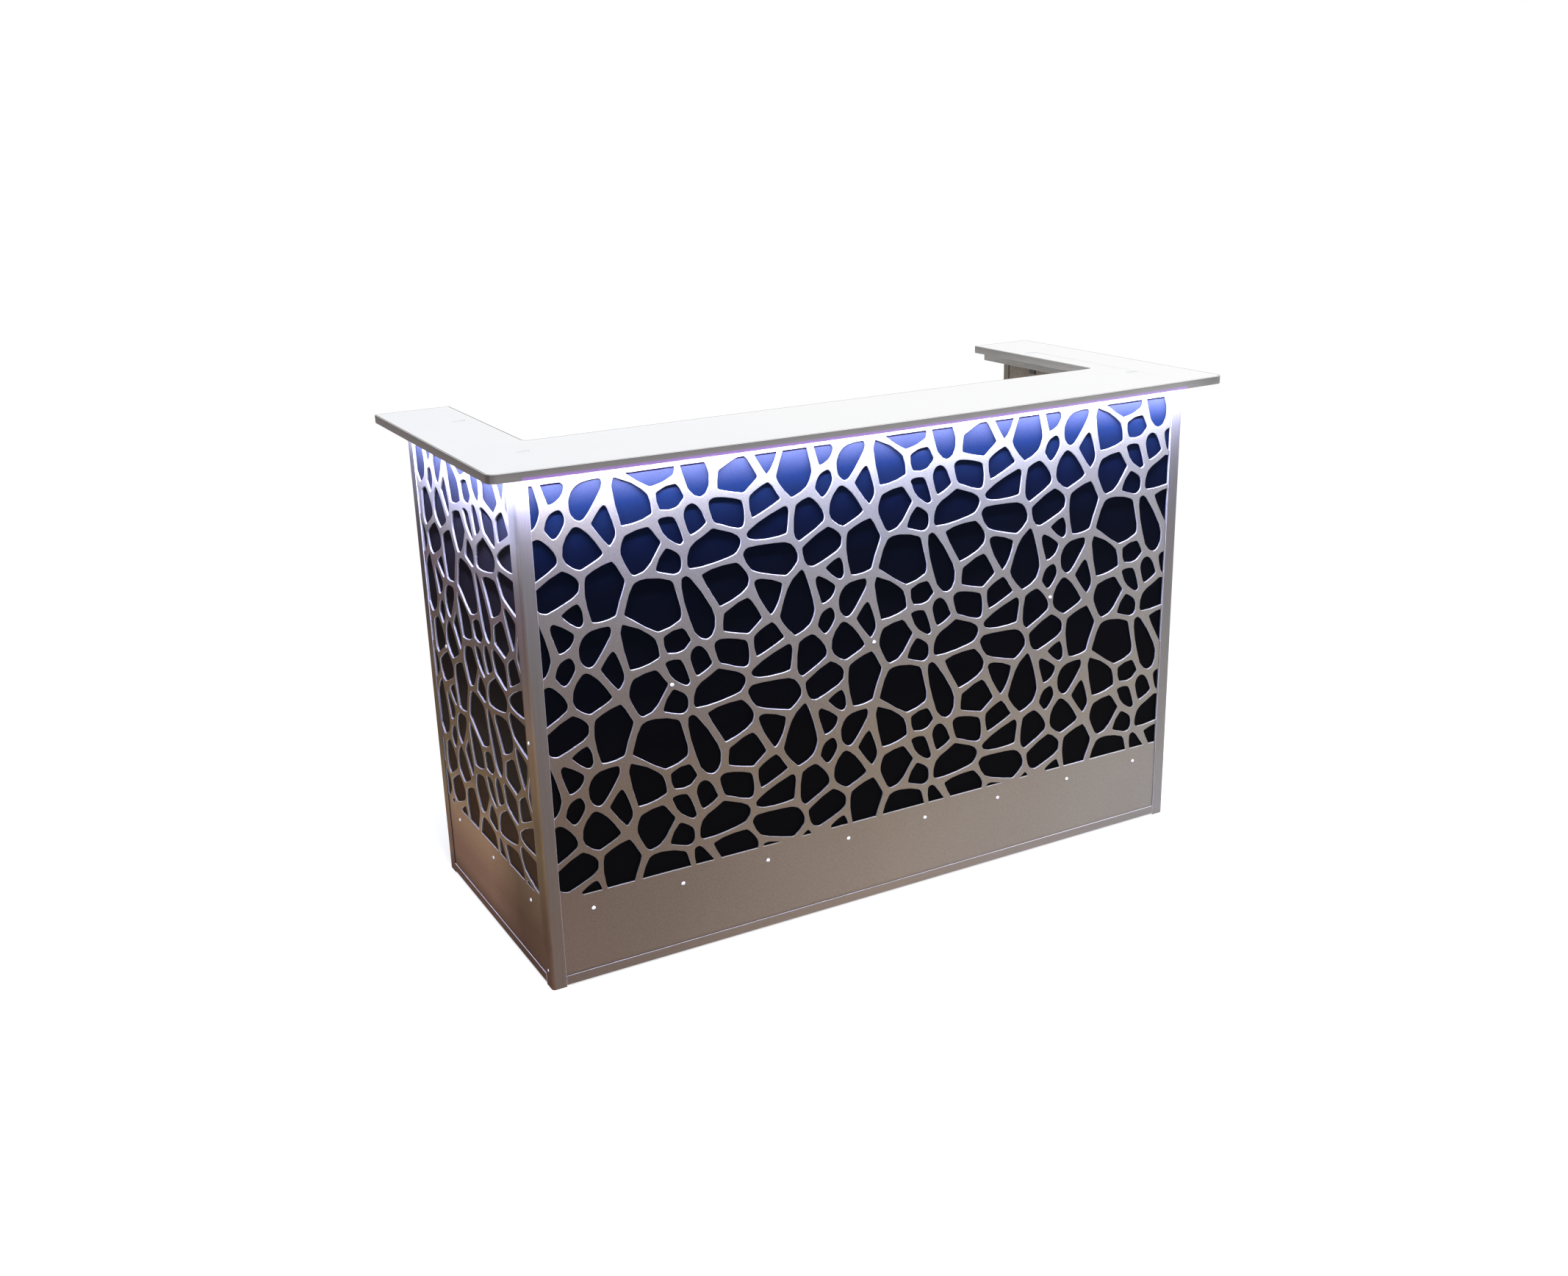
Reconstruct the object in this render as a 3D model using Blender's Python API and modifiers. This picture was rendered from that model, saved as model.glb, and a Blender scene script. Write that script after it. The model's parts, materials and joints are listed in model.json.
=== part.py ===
"""Illuminated bar counter with cut-out screens.

X is the counter's width, -Y is the guests' side, +Z is up. The origin is on the floor, under the middle of
the counter's outline. All sizes are in metres, except the cells of the screens, which are in millimetres.
"""

import math

import bmesh
import bpy
from mathutils import Matrix, Vector

# Driving dimensions
BODY_WIDTH = 1.632
BODY_DEPTH = 0.665
COUNTER_HEIGHT = 1.100
TOP_THICKNESS = 0.018
TOP_SIDE_OVERHANG = 0.064
TOP_FRONT_OVERHANG = 0.060
TOP_FRONT_BOW = 0.024
TOP_REAR_OVERHANG = 0.015
WING_WIDTH = 0.168
FRONT_BAND_DEPTH = 0.205
FRONT_ROUNDING = 0.020
INNER_ROUNDING = 0.012
REAR_ROUNDING = 0.004
BOW_STEPS = 16
CORNER_RADIUS = 0.007
FRONT_LEG = 0.0315
SIDE_LEG = 0.033
REAR_LEG = 0.032
REAR_INNER_LEG = 0.021
REAR_CORE = 0.0165
CORNER_CORE = 0.0245
SKIN = 0.002
SHEET = 0.004
BACKING = 0.0093
BOARD = 0.016
GAP = 0.0003

# Places that follow from them. Depths are measured from the front face of the posts.
HALF_WIDTH = BODY_WIDTH / 2
FRONT = (TOP_FRONT_OVERHANG + TOP_FRONT_BOW - BODY_DEPTH - TOP_REAR_OVERHANG) / 2
BACK = FRONT + BODY_DEPTH
UNDERSIDE = COUNTER_HEIGHT - TOP_THICKNESS
WALL_TOP = UNDERSIDE - GAP
SLOT_OUTER = SKIN
SLOT_INNER = SKIN + SHEET + BACKING + 3 * GAP
WALL = SLOT_INNER + SKIN
INSIDE = WALL + GAP
SHEET_FACE = SKIN + GAP
BACKING_FACE = SHEET_FACE + SHEET + GAP
BACKING_INSIDE = BACKING_FACE + BACKING

# The screens
TOP_BAND = 0.0267
KICK_BAND_TOP = 0.197
SIDE_CELLS_START = 0.044
PATTERN_WIDTH = 0.590
PATTERN_HEIGHT = 0.296
PATTERN_DROP = 0.052
FRONT_PATTERN_START = 0.200
LEFT_PATTERN_START = 0.4165
RIGHT_PATTERN_START = 0.030
SMALLEST_CELL = 0.0095
MM = 0.001
CELLS_TOP = WALL_TOP - TOP_BAND
PATTERN_TOP = CELLS_TOP - PATTERN_DROP

# The bottom rails
RAIL_BOTTOM = 0.004
RAIL_TOP = 0.025

# Fasteners. The middle rivets sit where strands of the pattern meet: the repeat's column and row, and the
# place in it in millimetres, as the cells' points are given.
RIVET_RADIUS = 0.0045
RIVET_HEIGHT = 0.0022
SHANK_RADIUS = 0.0020
HOLE_RADIUS = 0.0024
FASTENER_SIDES = 8
KICK_RIVETS = 8
KICK_RIVET_HEIGHT = 0.1615
JUNCTIONS = ((0, 1, 104, 99), (1, 1, -4, 98), (1, 1, 472, 79))
SCREW_RADIUS = 0.0032
SCREW_HEIGHT = 0.0014
SCREW_SHANK_RADIUS = 0.0014
SCREW_LENGTH = 0.005
POST_SCREW_DEPTH = 0.0175
POST_SCREW_HEIGHTS = (0.040, WALL_TOP - 0.0387)

# The worktop's cover caps
CAP_RADIUS = 0.0125
CAP_THICKNESS = 0.0037
CAP_CHAMFER = 0.0006
CAP_INSET = 0.065
CAP_DEPTHS = (0.108, 0.493)
CAP_SIDES = 24

# Light strips under the overhang
CHANNEL_WIDTH = 0.016
CHANNEL_HEIGHT = 0.004
CHANNEL_SKIN = 0.001
CHANNEL_OFFSET = 0.030
DIFFUSER = 0.0012

# Inside
SUBTOP_SETBACK = 0.010
SUBTOP_REAR_SETBACK = 0.016
SHELF = 0.018
SHELF_DEPTH = 0.400
LOWER_SHELF_TOP = 0.380
UPPER_SHELF_DROP = 0.300
UPRIGHT_SETBACK = 0.020
BATTEN_SETBACK = 0.010
BATTEN_CLEARANCE = 0.002
BATTEN_WIDTH = 0.022
BATTEN_HEIGHT = 0.030
BRACKET_LEG = 0.030
BRACKET_SKIN = 0.0025
BRACKET_WIDTH = 0.024
SIDE_BRACKET_DEPTH = 0.543
FRONT_BRACKET_INSET = 0.450
DRIVER_SIZE = (0.160, 0.040, 0.028)
DRIVER_PLACE = (0.380, 0.120)
DRIVER_BEVEL = 0.002
INLET_SIZE = (0.030, 0.035, 0.050)
INLET_PLACE = (0.560, 0.125)
INLET_WALL = 0.004
INLET_POCKET = 0.018
SWITCH_SIZE = (0.028, 0.020, 0.032)
SWITCH_PLACE = 0.520
SWITCH_SETBACK = 0.002
ROCKER_WIDTH = 0.018
ROCKER_HALF_HEIGHT = 0.0115
ROCKER_FACE = 0.0065
ROCKER_HOLLOW = 0.0045
ROCKER_BACK = 0.005
ROCKER_BACK_HALF = 0.004
ROCKER_SHOULDER = 0.001
ROCKER_TILT = math.radians(8)
ROCKER_PIVOT_DEPTH = 0.0045
POCKET_HALF_HEIGHT = 0.0130
POCKET_DEPTH = 0.0115
PIN_RADIUS = 0.0014
PIN_LENGTH = 0.0022

# The cells of one repeat of the screens' pattern, read off the photograph by hand: millimetres to the
# right of and below the repeat's corner, seen from outside. Cells run over the repeat's edges.
CELLS = (
    ((4, 247), (62, 280), (74, 291), (82, 331), (48, 345), (15, 348), (-1, 266)),
    ((91, 291), (113, 281), (136, 279), (153, 309), (134, 327), (98, 328)),
    ((137, 175), (150, 171), (203, 251), (209, 285), (196, 313), (174, 309), (152, 266), (136, 205)),
    ((34, 168), (62, 163), (116, 177), (134, 245), (131, 262), (81, 279), (9, 231)),
    ((20, 71), (70, 60), (98, 96), (62, 147), (32, 155), (9, 105), (12, 85)),
    ((91, 50), (107, 45), (127, 49), (147, 101), (139, 108), (113, 92)),
    ((106, 109), (129, 119), (140, 135), (137, 160), (122, 167), (83, 153), (92, 125)),
    ((149, 40), (160, 27), (175, 28), (199, 71), (162, 92), (150, 62)),
    ((203, 32), (212, 23), (235, 23), (278, 37), (285, 68), (280, 93), (268, 94), (213, 72)),
    ((295, 31), (339, 7), (368, 46), (335, 63), (300, 77), (294, 44)),
    ((285, 108), (300, 94), (380, 61), (386, 76), (380, 122), (330, 125), (291, 119)),
    ((401, 64), (433, 50), (462, 78), (469, 104), (407, 142), (396, 128), (397, 90)),
    ((447, 36), (458, 9), (478, 0), (491, 16), (489, 32), (467, 58)),
    ((500, 41), (518, 39), (565, 99), (515, 126), (486, 107), (480, 85)),
    ((571, 3), (592, 55), (590, 74), (579, 88), (542, 37)),
    ((514, 257), (534, 249), (567, 246), (570, 262), (528, 323), (513, 322), (500, 295), (501, 278)),
    ((444, 231), (449, 222), (494, 252), (486, 274), (459, 286)),
    ((397, 213), (411, 202), (418, 208), (442, 290), (431, 324), (391, 344), (357, 295), (375, 242)),
    ((299, 211), (310, 205), (342, 212), (366, 224), (359, 256), (337, 289), (311, 249)),
    ((228, 265), (284, 240), (317, 291), (284, 319), (225, 303)),
    ((181, 176), (215, 166), (262, 163), (284, 187), (289, 212), (276, 228), (220, 250)),
    ((276, 150), (287, 135), (366, 136), (393, 148), (405, 170), (403, 187), (376, 210), (296, 186)),
    ((414, 156), (477, 119), (505, 138), (511, 152), (508, 170), (441, 202), (421, 192)),
    ((468, 209), (482, 198), (504, 190), (515, 215), (513, 238), (500, 239)),
    ((524, 139), (581, 116), (607, 161), (582, 230), (560, 235), (531, 235), (520, 175)),
    ((210, 84), (264, 105), (274, 120), (261, 145), (215, 156), (157, 161), (151, 150), (156, 119),
     (175, 102)),
)

# How each wall is turned, so that its own X runs to the right and its own Z points out of the counter
WALL_TURNS = {
    "front": (math.pi / 2, 0, 0),
    "left": (math.pi / 2, 0, -math.pi / 2),
    "right": (math.pi / 2, 0, math.pi / 2),
}
SIDES = {"left": -1, "right": 1}


def clear_scene():
    """Remove every object that the file starts with."""
    for old in list(bpy.data.objects):
        bpy.data.objects.remove(old, do_unlink=True)


def new_collection(name):
    """Add a collection to the scene."""
    collection = bpy.data.collections.new(name)
    bpy.context.scene.collection.children.link(collection)
    return collection


def new_material(name, colour, roughness, metallic):
    """Make a Principled material of one plain colour."""
    material = bpy.data.materials.new(name)
    material.use_nodes = True
    shader = material.node_tree.nodes["Principled BSDF"]
    shader.inputs["Base Color"].default_value = (*colour, 1)
    shader.inputs["Roughness"].default_value = roughness
    shader.inputs["Metallic"].default_value = metallic
    material.diffuse_color = (*colour, 1)
    return material


clear_scene()
COUNTER = new_collection("bar_counter")
CUTTERS = new_collection("cutters")
WHITE = new_material("white_laminate", (0.90, 0.91, 0.92), 0.35, 0.0)
SILVER = new_material("silver_sheet", (0.60, 0.58, 0.57), 0.38, 0.9)
ALUMINIUM = new_material("anodised_aluminium", (0.66, 0.65, 0.64), 0.32, 1.0)
NAVY = new_material("navy_board", (0.010, 0.018, 0.075), 0.45, 0.0)
GREY = new_material("grey_board", (0.30, 0.28, 0.26), 0.55, 0.0)
PALE_PLASTIC = new_material("pale_plastic", (0.84, 0.85, 0.86), 0.40, 0.0)
OPAL = new_material("opal_plastic", (0.90, 0.90, 0.95), 0.50, 0.0)
BLACK = new_material("black_plastic", (0.02, 0.02, 0.022), 0.45, 0.0)
STEEL = new_material("zinc_steel", (0.50, 0.50, 0.50), 0.40, 1.0)
BRIGHT = new_material("bright_rivet", (0.80, 0.80, 0.80), 0.20, 1.0)


def add_object(name, mesh, material, place=(0, 0, 0), turn=(0, 0, 0)):
    """Put a mesh into the counter's collection as a named object with its own material slot."""
    piece = bpy.data.objects.new(name, mesh)
    mesh.materials.clear()
    mesh.materials.append(material)
    piece.location = place
    piece.rotation_euler = turn
    COUNTER.objects.link(piece)
    return piece


def box(name, low, high, material):
    """A plain board or block between two opposite corners."""
    mesh = bpy.data.meshes.new(name)
    shape = bmesh.new()
    bmesh.ops.create_cube(shape, size=1.0)
    size = Vector(high) - Vector(low)
    bmesh.ops.scale(shape, vec=size, verts=shape.verts)
    shape.to_mesh(mesh)
    shape.free()
    return add_object(name, mesh, material, (Vector(low) + Vector(high)) / 2)


def plate(name, outlines, thickness, material, place=(0, 0, 0), turn=(0, 0, 0)):
    """A flat outline with holes, given a thickness that is centred on its own XY plane."""
    curve = bpy.data.curves.new(name + "_outline", "CURVE")
    curve.dimensions = "2D"
    curve.fill_mode = "BOTH"
    curve.extrude = thickness / 2
    for outline in outlines:
        spline = curve.splines.new("POLY")
        spline.points.add(len(outline) - 1)
        for point, (x, y) in zip(spline.points, outline):
            point.co = (x, y, 0, 1)
        spline.use_cyclic_u = True
    drawn = bpy.data.objects.new(name + "_outline", curve)
    drawn.location = place
    drawn.rotation_euler = turn
    COUNTER.objects.link(drawn)
    bpy.context.view_layer.update()
    evaluated = drawn.evaluated_get(bpy.context.evaluated_depsgraph_get())
    mesh = bpy.data.meshes.new_from_object(evaluated)
    mesh.name = name
    shape = bmesh.new()
    shape.from_mesh(mesh)
    bmesh.ops.remove_doubles(shape, verts=shape.verts, dist=0.00001)
    bmesh.ops.recalc_face_normals(shape, faces=shape.faces)
    shape.to_mesh(mesh)
    shape.free()
    piece = add_object(name, mesh, material)
    piece.matrix_world = drawn.matrix_world
    bpy.data.objects.remove(drawn, do_unlink=True)
    bpy.data.curves.remove(curve)
    return piece


def turned(name, profile, sides, material, place, turn=(0, 0, 0)):
    """A profile of (radius, height) points, from the top down, turned about the piece's own Z."""
    mesh = bpy.data.meshes.new(name)
    points = [(radius, 0, height) for radius, height in profile]
    edges = [(index, index + 1) for index in range(len(points) - 1)]
    mesh.from_pydata(points, edges, [])
    piece = add_object(name, mesh, material, place, turn)
    screw = piece.modifiers.new("turn", "SCREW")
    screw.axis = "Z"
    screw.steps = sides
    screw.render_steps = sides
    screw.use_merge_vertices = True
    screw.merge_threshold = 0.00001
    screw.use_smooth_shade = True
    return piece


def rod_cutter(name, radius, length, place, turn, sides):
    """A round bar that cuts a hole."""
    mesh = bpy.data.meshes.new(name)
    shape = bmesh.new()
    bmesh.ops.create_cone(shape, cap_ends=True, segments=sides, radius1=radius, radius2=radius, depth=length)
    shape.to_mesh(mesh)
    shape.free()
    return add_cutter(name, mesh, place, turn)


def block_cutter(name, low, high):
    """A block that cuts a pocket."""
    mesh = bpy.data.meshes.new(name)
    shape = bmesh.new()
    bmesh.ops.create_cube(shape, size=1.0)
    bmesh.ops.scale(shape, vec=Vector(high) - Vector(low), verts=shape.verts)
    shape.to_mesh(mesh)
    shape.free()
    return add_cutter(name, mesh, (Vector(low) + Vector(high)) / 2, (0, 0, 0))


def add_cutter(name, mesh, place, turn):
    """Put a cutter's mesh into the collection of cutters."""
    cutter = bpy.data.objects.new(name, mesh)
    cutter.location = place
    cutter.rotation_euler = turn
    cutter.hide_render = True
    cutter.display_type = "WIRE"
    CUTTERS.objects.link(cutter)
    return cutter


def cut(piece, cutter, operation="DIFFERENCE"):
    """Cut one piece with a cutter, or join the two."""
    boolean = piece.modifiers.new(cutter.name, "BOOLEAN")
    boolean.operation = operation
    boolean.solver = "EXACT"
    boolean.object = cutter


def rounded(corners):
    """An outline through corners given as (x, y, radius, steps), each turned into an arc."""
    outline = []
    for index, (x, y, radius, steps) in enumerate(corners):
        here = Vector((x, y))
        if not radius:
            outline.append((x, y))
            continue
        before = Vector(corners[index - 1][:2]) - here
        after = Vector(corners[(index + 1) % len(corners)][:2]) - here
        before.normalize()
        after.normalize()
        half_angle = before.angle(after) / 2
        centre = here + (before + after).normalized() * (radius / math.sin(half_angle))
        start = here + before * (radius / math.tan(half_angle)) - centre
        end = here + after * (radius / math.tan(half_angle)) - centre
        sweep = math.atan2(start.x * end.y - start.y * end.x, start.dot(end))
        for step in range(steps + 1):
            arm = start.copy()
            arm.rotate(Matrix.Rotation(sweep * step / steps, 2))
            outline.append(tuple(centre + arm))
    return outline


def regular(centre, radius, sides):
    """A round hole as a regular polygon with a corner on its own X axis."""
    corners = []
    for index in range(sides):
        angle = 2 * math.pi * index / sides
        corners.append((centre[0] + radius * math.cos(angle), centre[1] + radius * math.sin(angle)))
    return corners


def rectangle(x0, x1, y0, y1):
    """A rectangle's corners."""
    return [(x0, y0), (x1, y0), (x1, y1), (x0, y1)]


def clip(outline, axis, limit, keep):
    """Cut an outline off at one straight line, keeping the side where keep * value is the smaller."""
    kept = []
    for index, here in enumerate(outline):
        last = outline[index - 1]
        here_in = keep * here[axis] <= keep * limit
        last_in = keep * last[axis] <= keep * limit
        if here_in != last_in:
            share = (limit - last[axis]) / (here[axis] - last[axis])
            kept.append(tuple(a + share * (b - a) for a, b in zip(last, here)))
        if here_in:
            kept.append(here)
    return kept


def area(outline):
    """The area inside an outline."""
    total = 0
    for index, (x, y) in enumerate(outline):
        last_x, last_y = outline[index - 1]
        total += last_x * y - x * last_y
    return abs(total) / 2


def cells_in(x0, x1, z0, z1, start):
    """The pattern's cells inside a window, with the corner of one repeat at start and PATTERN_TOP."""
    cells = []
    columns = range(math.floor((x0 - start) / PATTERN_WIDTH) - 1, math.ceil((x1 - start) / PATTERN_WIDTH) + 1)
    rows = range(-2, math.ceil((PATTERN_TOP - z0) / PATTERN_HEIGHT) + 1)
    for column in columns:
        for row in rows:
            left = start + column * PATTERN_WIDTH
            top = PATTERN_TOP - row * PATTERN_HEIGHT
            for cell in CELLS:
                outline = [(left + u * MM, top - v * MM) for u, v in cell]
                for axis, limit, keep in ((0, x0, -1), (0, x1, 1), (1, z0, -1), (1, z1, 1)):
                    outline = clip(outline, axis, limit, keep)
                if len(outline) > 2 and area(outline) > SMALLEST_CELL ** 2:
                    cells.append(outline)
    return cells


def make_worktop():
    """The U-shaped worktop with its bowed front edge, and the caps let into it."""
    half_top = HALF_WIDTH + TOP_SIDE_OVERHANG
    edge = FRONT - TOP_FRONT_OVERHANG
    rear = BACK + TOP_REAR_OVERHANG
    inner_x = half_top - WING_WIDTH
    inner_y = FRONT + FRONT_BAND_DEPTH
    corners = [(-half_top, edge, FRONT_ROUNDING, 6)]
    bow_radius = (half_top ** 2 + TOP_FRONT_BOW ** 2) / (2 * TOP_FRONT_BOW)
    for step in range(1, BOW_STEPS):
        x = half_top * (2 * step / BOW_STEPS - 1)
        drop = TOP_FRONT_BOW - bow_radius + math.sqrt(bow_radius ** 2 - x ** 2)
        corners.append((x, edge - drop, 0, 0))
    corners.append((half_top, edge, FRONT_ROUNDING, 6))
    corners.append((half_top, rear, REAR_ROUNDING, 2))
    corners.append((inner_x, rear, REAR_ROUNDING, 2))
    corners.append((inner_x, inner_y, INNER_ROUNDING, 4))
    corners.append((-inner_x, inner_y, INNER_ROUNDING, 4))
    corners.append((-inner_x, rear, REAR_ROUNDING, 2))
    corners.append((-half_top, rear, REAR_ROUNDING, 2))
    middle = COUNTER_HEIGHT - TOP_THICKNESS / 2
    worktop = plate("worktop", [rounded(corners)], TOP_THICKNESS, WHITE, (0, 0, middle))
    for side_name, side in SIDES.items():
        for place_name, depth in zip(("front", "rear"), CAP_DEPTHS):
            centre = (side * (HALF_WIDTH - CAP_INSET), FRONT + depth)
            name = f"{side_name}_{place_name}_cap"
            recess = CAP_THICKNESS + GAP
            cutter = rod_cutter(name + "_recess", CAP_RADIUS + GAP, 2 * recess, (*centre, COUNTER_HEIGHT),
                                (0, 0, 0), CAP_SIDES)
            cut(worktop, cutter)
            profile = [(0, 0), (CAP_RADIUS - CAP_CHAMFER, 0), (CAP_RADIUS, -CAP_CHAMFER),
                       (CAP_RADIUS, -CAP_THICKNESS), (0, -CAP_THICKNESS)]
            turned(name, profile, CAP_SIDES, PALE_PLASTIC, (*centre, COUNTER_HEIGHT))


def make_walls():
    """The three screens with their cells, and the backing boards close behind them."""
    front_half = HALF_WIDTH - WALL - GAP
    window_half = HALF_WIDTH - FRONT_LEG
    bottom = RAIL_BOTTOM + SKIN + GAP
    shanks = []
    for index in range(KICK_RIVETS):
        shanks.append(((index + 0.5) * BODY_WIDTH / KICK_RIVETS, KICK_RIVET_HEIGHT))
    for column, row, u, v in JUNCTIONS:
        x = FRONT_PATTERN_START + column * PATTERN_WIDTH + u * MM
        shanks.append((x, PATTERN_TOP - row * PATTERN_HEIGHT - v * MM))
    holes = [regular((x - HALF_WIDTH, z), HOLE_RADIUS, FASTENER_SIDES) for x, z in shanks]
    outer = rectangle(-front_half, front_half, bottom, WALL_TOP)
    cells = cells_in(-window_half, window_half, KICK_BAND_TOP, CELLS_TOP, FRONT_PATTERN_START - HALF_WIDTH)
    sheet_middle = SHEET_FACE + SHEET / 2
    backing_middle = BACKING_FACE + BACKING / 2
    plate("front_screen", [outer] + cells + holes, SHEET, SILVER, (0, FRONT + sheet_middle, 0),
          WALL_TURNS["front"])
    plate("front_backing", [outer] + holes, BACKING, NAVY, (0, FRONT + backing_middle, 0),
          WALL_TURNS["front"])
    for index, (x, z) in enumerate(shanks):
        kind = "kick_rivet" if index < KICK_RIVETS else "middle_rivet"
        number = index + 1 if index < KICK_RIVETS else index + 1 - KICK_RIVETS
        make_rivet(f"{kind}_{number}", (x - HALF_WIDTH, FRONT + SHEET_FACE, z), SHEET + GAP + BACKING)

    start_depth = CORNER_CORE + GAP
    end_depth = BODY_DEPTH - REAR_CORE - GAP
    starts = {"left": -(FRONT + LEFT_PATTERN_START), "right": FRONT + RIGHT_PATTERN_START}
    for side_name, side in SIDES.items():
        ends = sorted((side * (FRONT + start_depth), side * (FRONT + end_depth)))
        window = sorted((side * (FRONT + SIDE_CELLS_START), side * (BACK - REAR_LEG)))
        outer = rectangle(*ends, bottom, WALL_TOP)
        cells = cells_in(*window, KICK_BAND_TOP, CELLS_TOP, starts[side_name])
        turn = WALL_TURNS[side_name]
        plate(side_name + "_screen", [outer] + cells, SHEET, SILVER,
              (side * (HALF_WIDTH - sheet_middle), 0, 0), turn)
        plate(side_name + "_backing", [outer], BACKING, NAVY,
              (side * (HALF_WIDTH - backing_middle), 0, 0), turn)


def make_rivet(name, place, length):
    """A dome-headed rivet through the front wall."""
    base = GAP
    profile = [(0, base + RIVET_HEIGHT)]
    for angle in (30, 60, 80):
        profile.append((RIVET_RADIUS * math.sin(math.radians(angle)),
                        base + RIVET_HEIGHT * math.cos(math.radians(angle))))
    profile += [(RIVET_RADIUS, base), (SHANK_RADIUS, base), (SHANK_RADIUS, -length), (0, -length)]
    turned(name, profile, FASTENER_SIDES, BRIGHT, place, WALL_TURNS["front"])


def make_posts():
    """The hollow corner posts, with a slot for each wall, and the posts that close the walls' rear ends."""
    for side_name, side in SIDES.items():
        outside = [
            (0, 0, CORNER_RADIUS, 6), (FRONT_LEG, 0, 0, 0), (FRONT_LEG, SKIN, 0, 0), (WALL, SKIN, 0, 0),
            (WALL, SLOT_INNER, 0, 0), (FRONT_LEG, SLOT_INNER, 0, 0), (FRONT_LEG, WALL, 0, 0),
            (WALL, WALL, 0, 0), (WALL, SIDE_LEG, 0, 0), (SLOT_INNER, SIDE_LEG, 0, 0),
            (SLOT_INNER, CORNER_CORE, 0, 0), (SKIN, CORNER_CORE, 0, 0), (SKIN, SIDE_LEG, 0, 0),
            (0, SIDE_LEG, 0, 0),
        ]
        core = [
            (SKIN, SKIN, CORNER_RADIUS - SKIN, 4), (SLOT_INNER, SKIN, 0, 0),
            (SLOT_INNER, CORNER_CORE - SKIN, 0, 0), (SKIN, CORNER_CORE - SKIN, 0, 0),
        ]
        outlines = [place_section(rounded(shape), side) for shape in (outside, core)]
        post = plate(side_name + "_corner_post", outlines, WALL_TOP, ALUMINIUM, (0, 0, WALL_TOP / 2))
        for number, height in enumerate(POST_SCREW_HEIGHTS, 1):
            name = f"{side_name}_post_screw_{number}"
            place = (side * HALF_WIDTH, FRONT + POST_SCREW_DEPTH, height)
            turn = WALL_TURNS[side_name]
            hole_radius = SCREW_SHANK_RADIUS + GAP
            cut(post, rod_cutter(name + "_hole", hole_radius, 3 * SKIN, place, turn, FASTENER_SIDES))
            profile = [(0, GAP + SCREW_HEIGHT), (SCREW_RADIUS * 0.55, GAP + SCREW_HEIGHT * 0.85),
                       (SCREW_RADIUS, GAP + SCREW_HEIGHT * 0.3), (SCREW_RADIUS, GAP),
                       (SCREW_SHANK_RADIUS, GAP), (SCREW_SHANK_RADIUS, -SCREW_LENGTH), (0, -SCREW_LENGTH)]
            turned(name, profile, FASTENER_SIDES, BRIGHT, place, turn)

        end = BODY_DEPTH
        slot_start = end - REAR_CORE
        inner_leg_end = end - REAR_INNER_LEG
        outside = [
            (0, end - REAR_LEG), (0, end), (WALL, end), (WALL, inner_leg_end), (SLOT_INNER, inner_leg_end),
            (SLOT_INNER, slot_start), (SKIN, slot_start), (SKIN, end - REAR_LEG),
        ]
        core = rectangle(SKIN, SLOT_INNER, slot_start + SKIN, end - SKIN)
        outlines = [place_section(shape, side) for shape in (outside, core)]
        plate(side_name + "_rear_post", outlines, WALL_TOP, ALUMINIUM, (0, 0, WALL_TOP / 2))


def place_section(shape, side):
    """Move a section, drawn from the counter's own front corner inwards, to the left or right corner."""
    return [(side * (HALF_WIDTH - x), FRONT + y) for x, y in shape]


def make_rails():
    """The U-shaped bottom rails that hold the foot of each wall between the posts."""
    section = [
        (0, RAIL_BOTTOM), (WALL, RAIL_BOTTOM), (WALL, RAIL_TOP), (SLOT_INNER, RAIL_TOP),
        (SLOT_INNER, RAIL_BOTTOM + SKIN), (SKIN, RAIL_BOTTOM + SKIN), (SKIN, RAIL_TOP), (0, RAIL_TOP),
    ]
    length = BODY_WIDTH - 2 * (FRONT_LEG + GAP)
    front_section = [(FRONT + depth, z) for depth, z in section]
    upright = (math.pi / 2, 0, math.pi / 2)
    plate("front_rail", [front_section], length, ALUMINIUM, (0, 0, 0), upright)
    length = BODY_DEPTH - SIDE_LEG - REAR_LEG - 2 * GAP
    middle = FRONT + SIDE_LEG + GAP + length / 2
    for side_name, side in SIDES.items():
        side_section = [(side * (HALF_WIDTH - depth), z) for depth, z in section]
        plate(side_name + "_rail", [side_section], length, ALUMINIUM, (0, middle, 0), (math.pi / 2, 0, 0))


def make_lights():
    """Channels under the overhang, open downwards, each with an opal cover."""
    half = CHANNEL_WIDTH / 2
    inner = half - CHANNEL_SKIN
    foot = WALL_TOP - CHANNEL_HEIGHT
    section = [
        (-half, foot), (-inner, foot), (-inner, WALL_TOP - CHANNEL_SKIN), (inner, WALL_TOP - CHANNEL_SKIN),
        (inner, foot), (half, foot), (half, WALL_TOP), (-half, WALL_TOP),
    ]
    cover = rectangle(GAP - inner, inner - GAP, foot, foot + DIFFUSER)
    front_y = FRONT - CHANNEL_OFFSET
    front_length = 2 * (HALF_WIDTH + CHANNEL_OFFSET + half)
    upright = (math.pi / 2, 0, math.pi / 2)
    plate("front_light_channel", [section], front_length, ALUMINIUM, (0, front_y, 0), upright)
    plate("front_light_cover", [cover], front_length, OPAL, (0, front_y, 0), upright)
    start = front_y + half + GAP
    length = BACK - start
    for side_name, side in SIDES.items():
        place = (side * (HALF_WIDTH + CHANNEL_OFFSET), start + length / 2, 0)
        plate(side_name + "_light_channel", [section], length, ALUMINIUM, place, (math.pi / 2, 0, 0))
        plate(side_name + "_light_cover", [cover], length, OPAL, place, (math.pi / 2, 0, 0))


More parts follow.
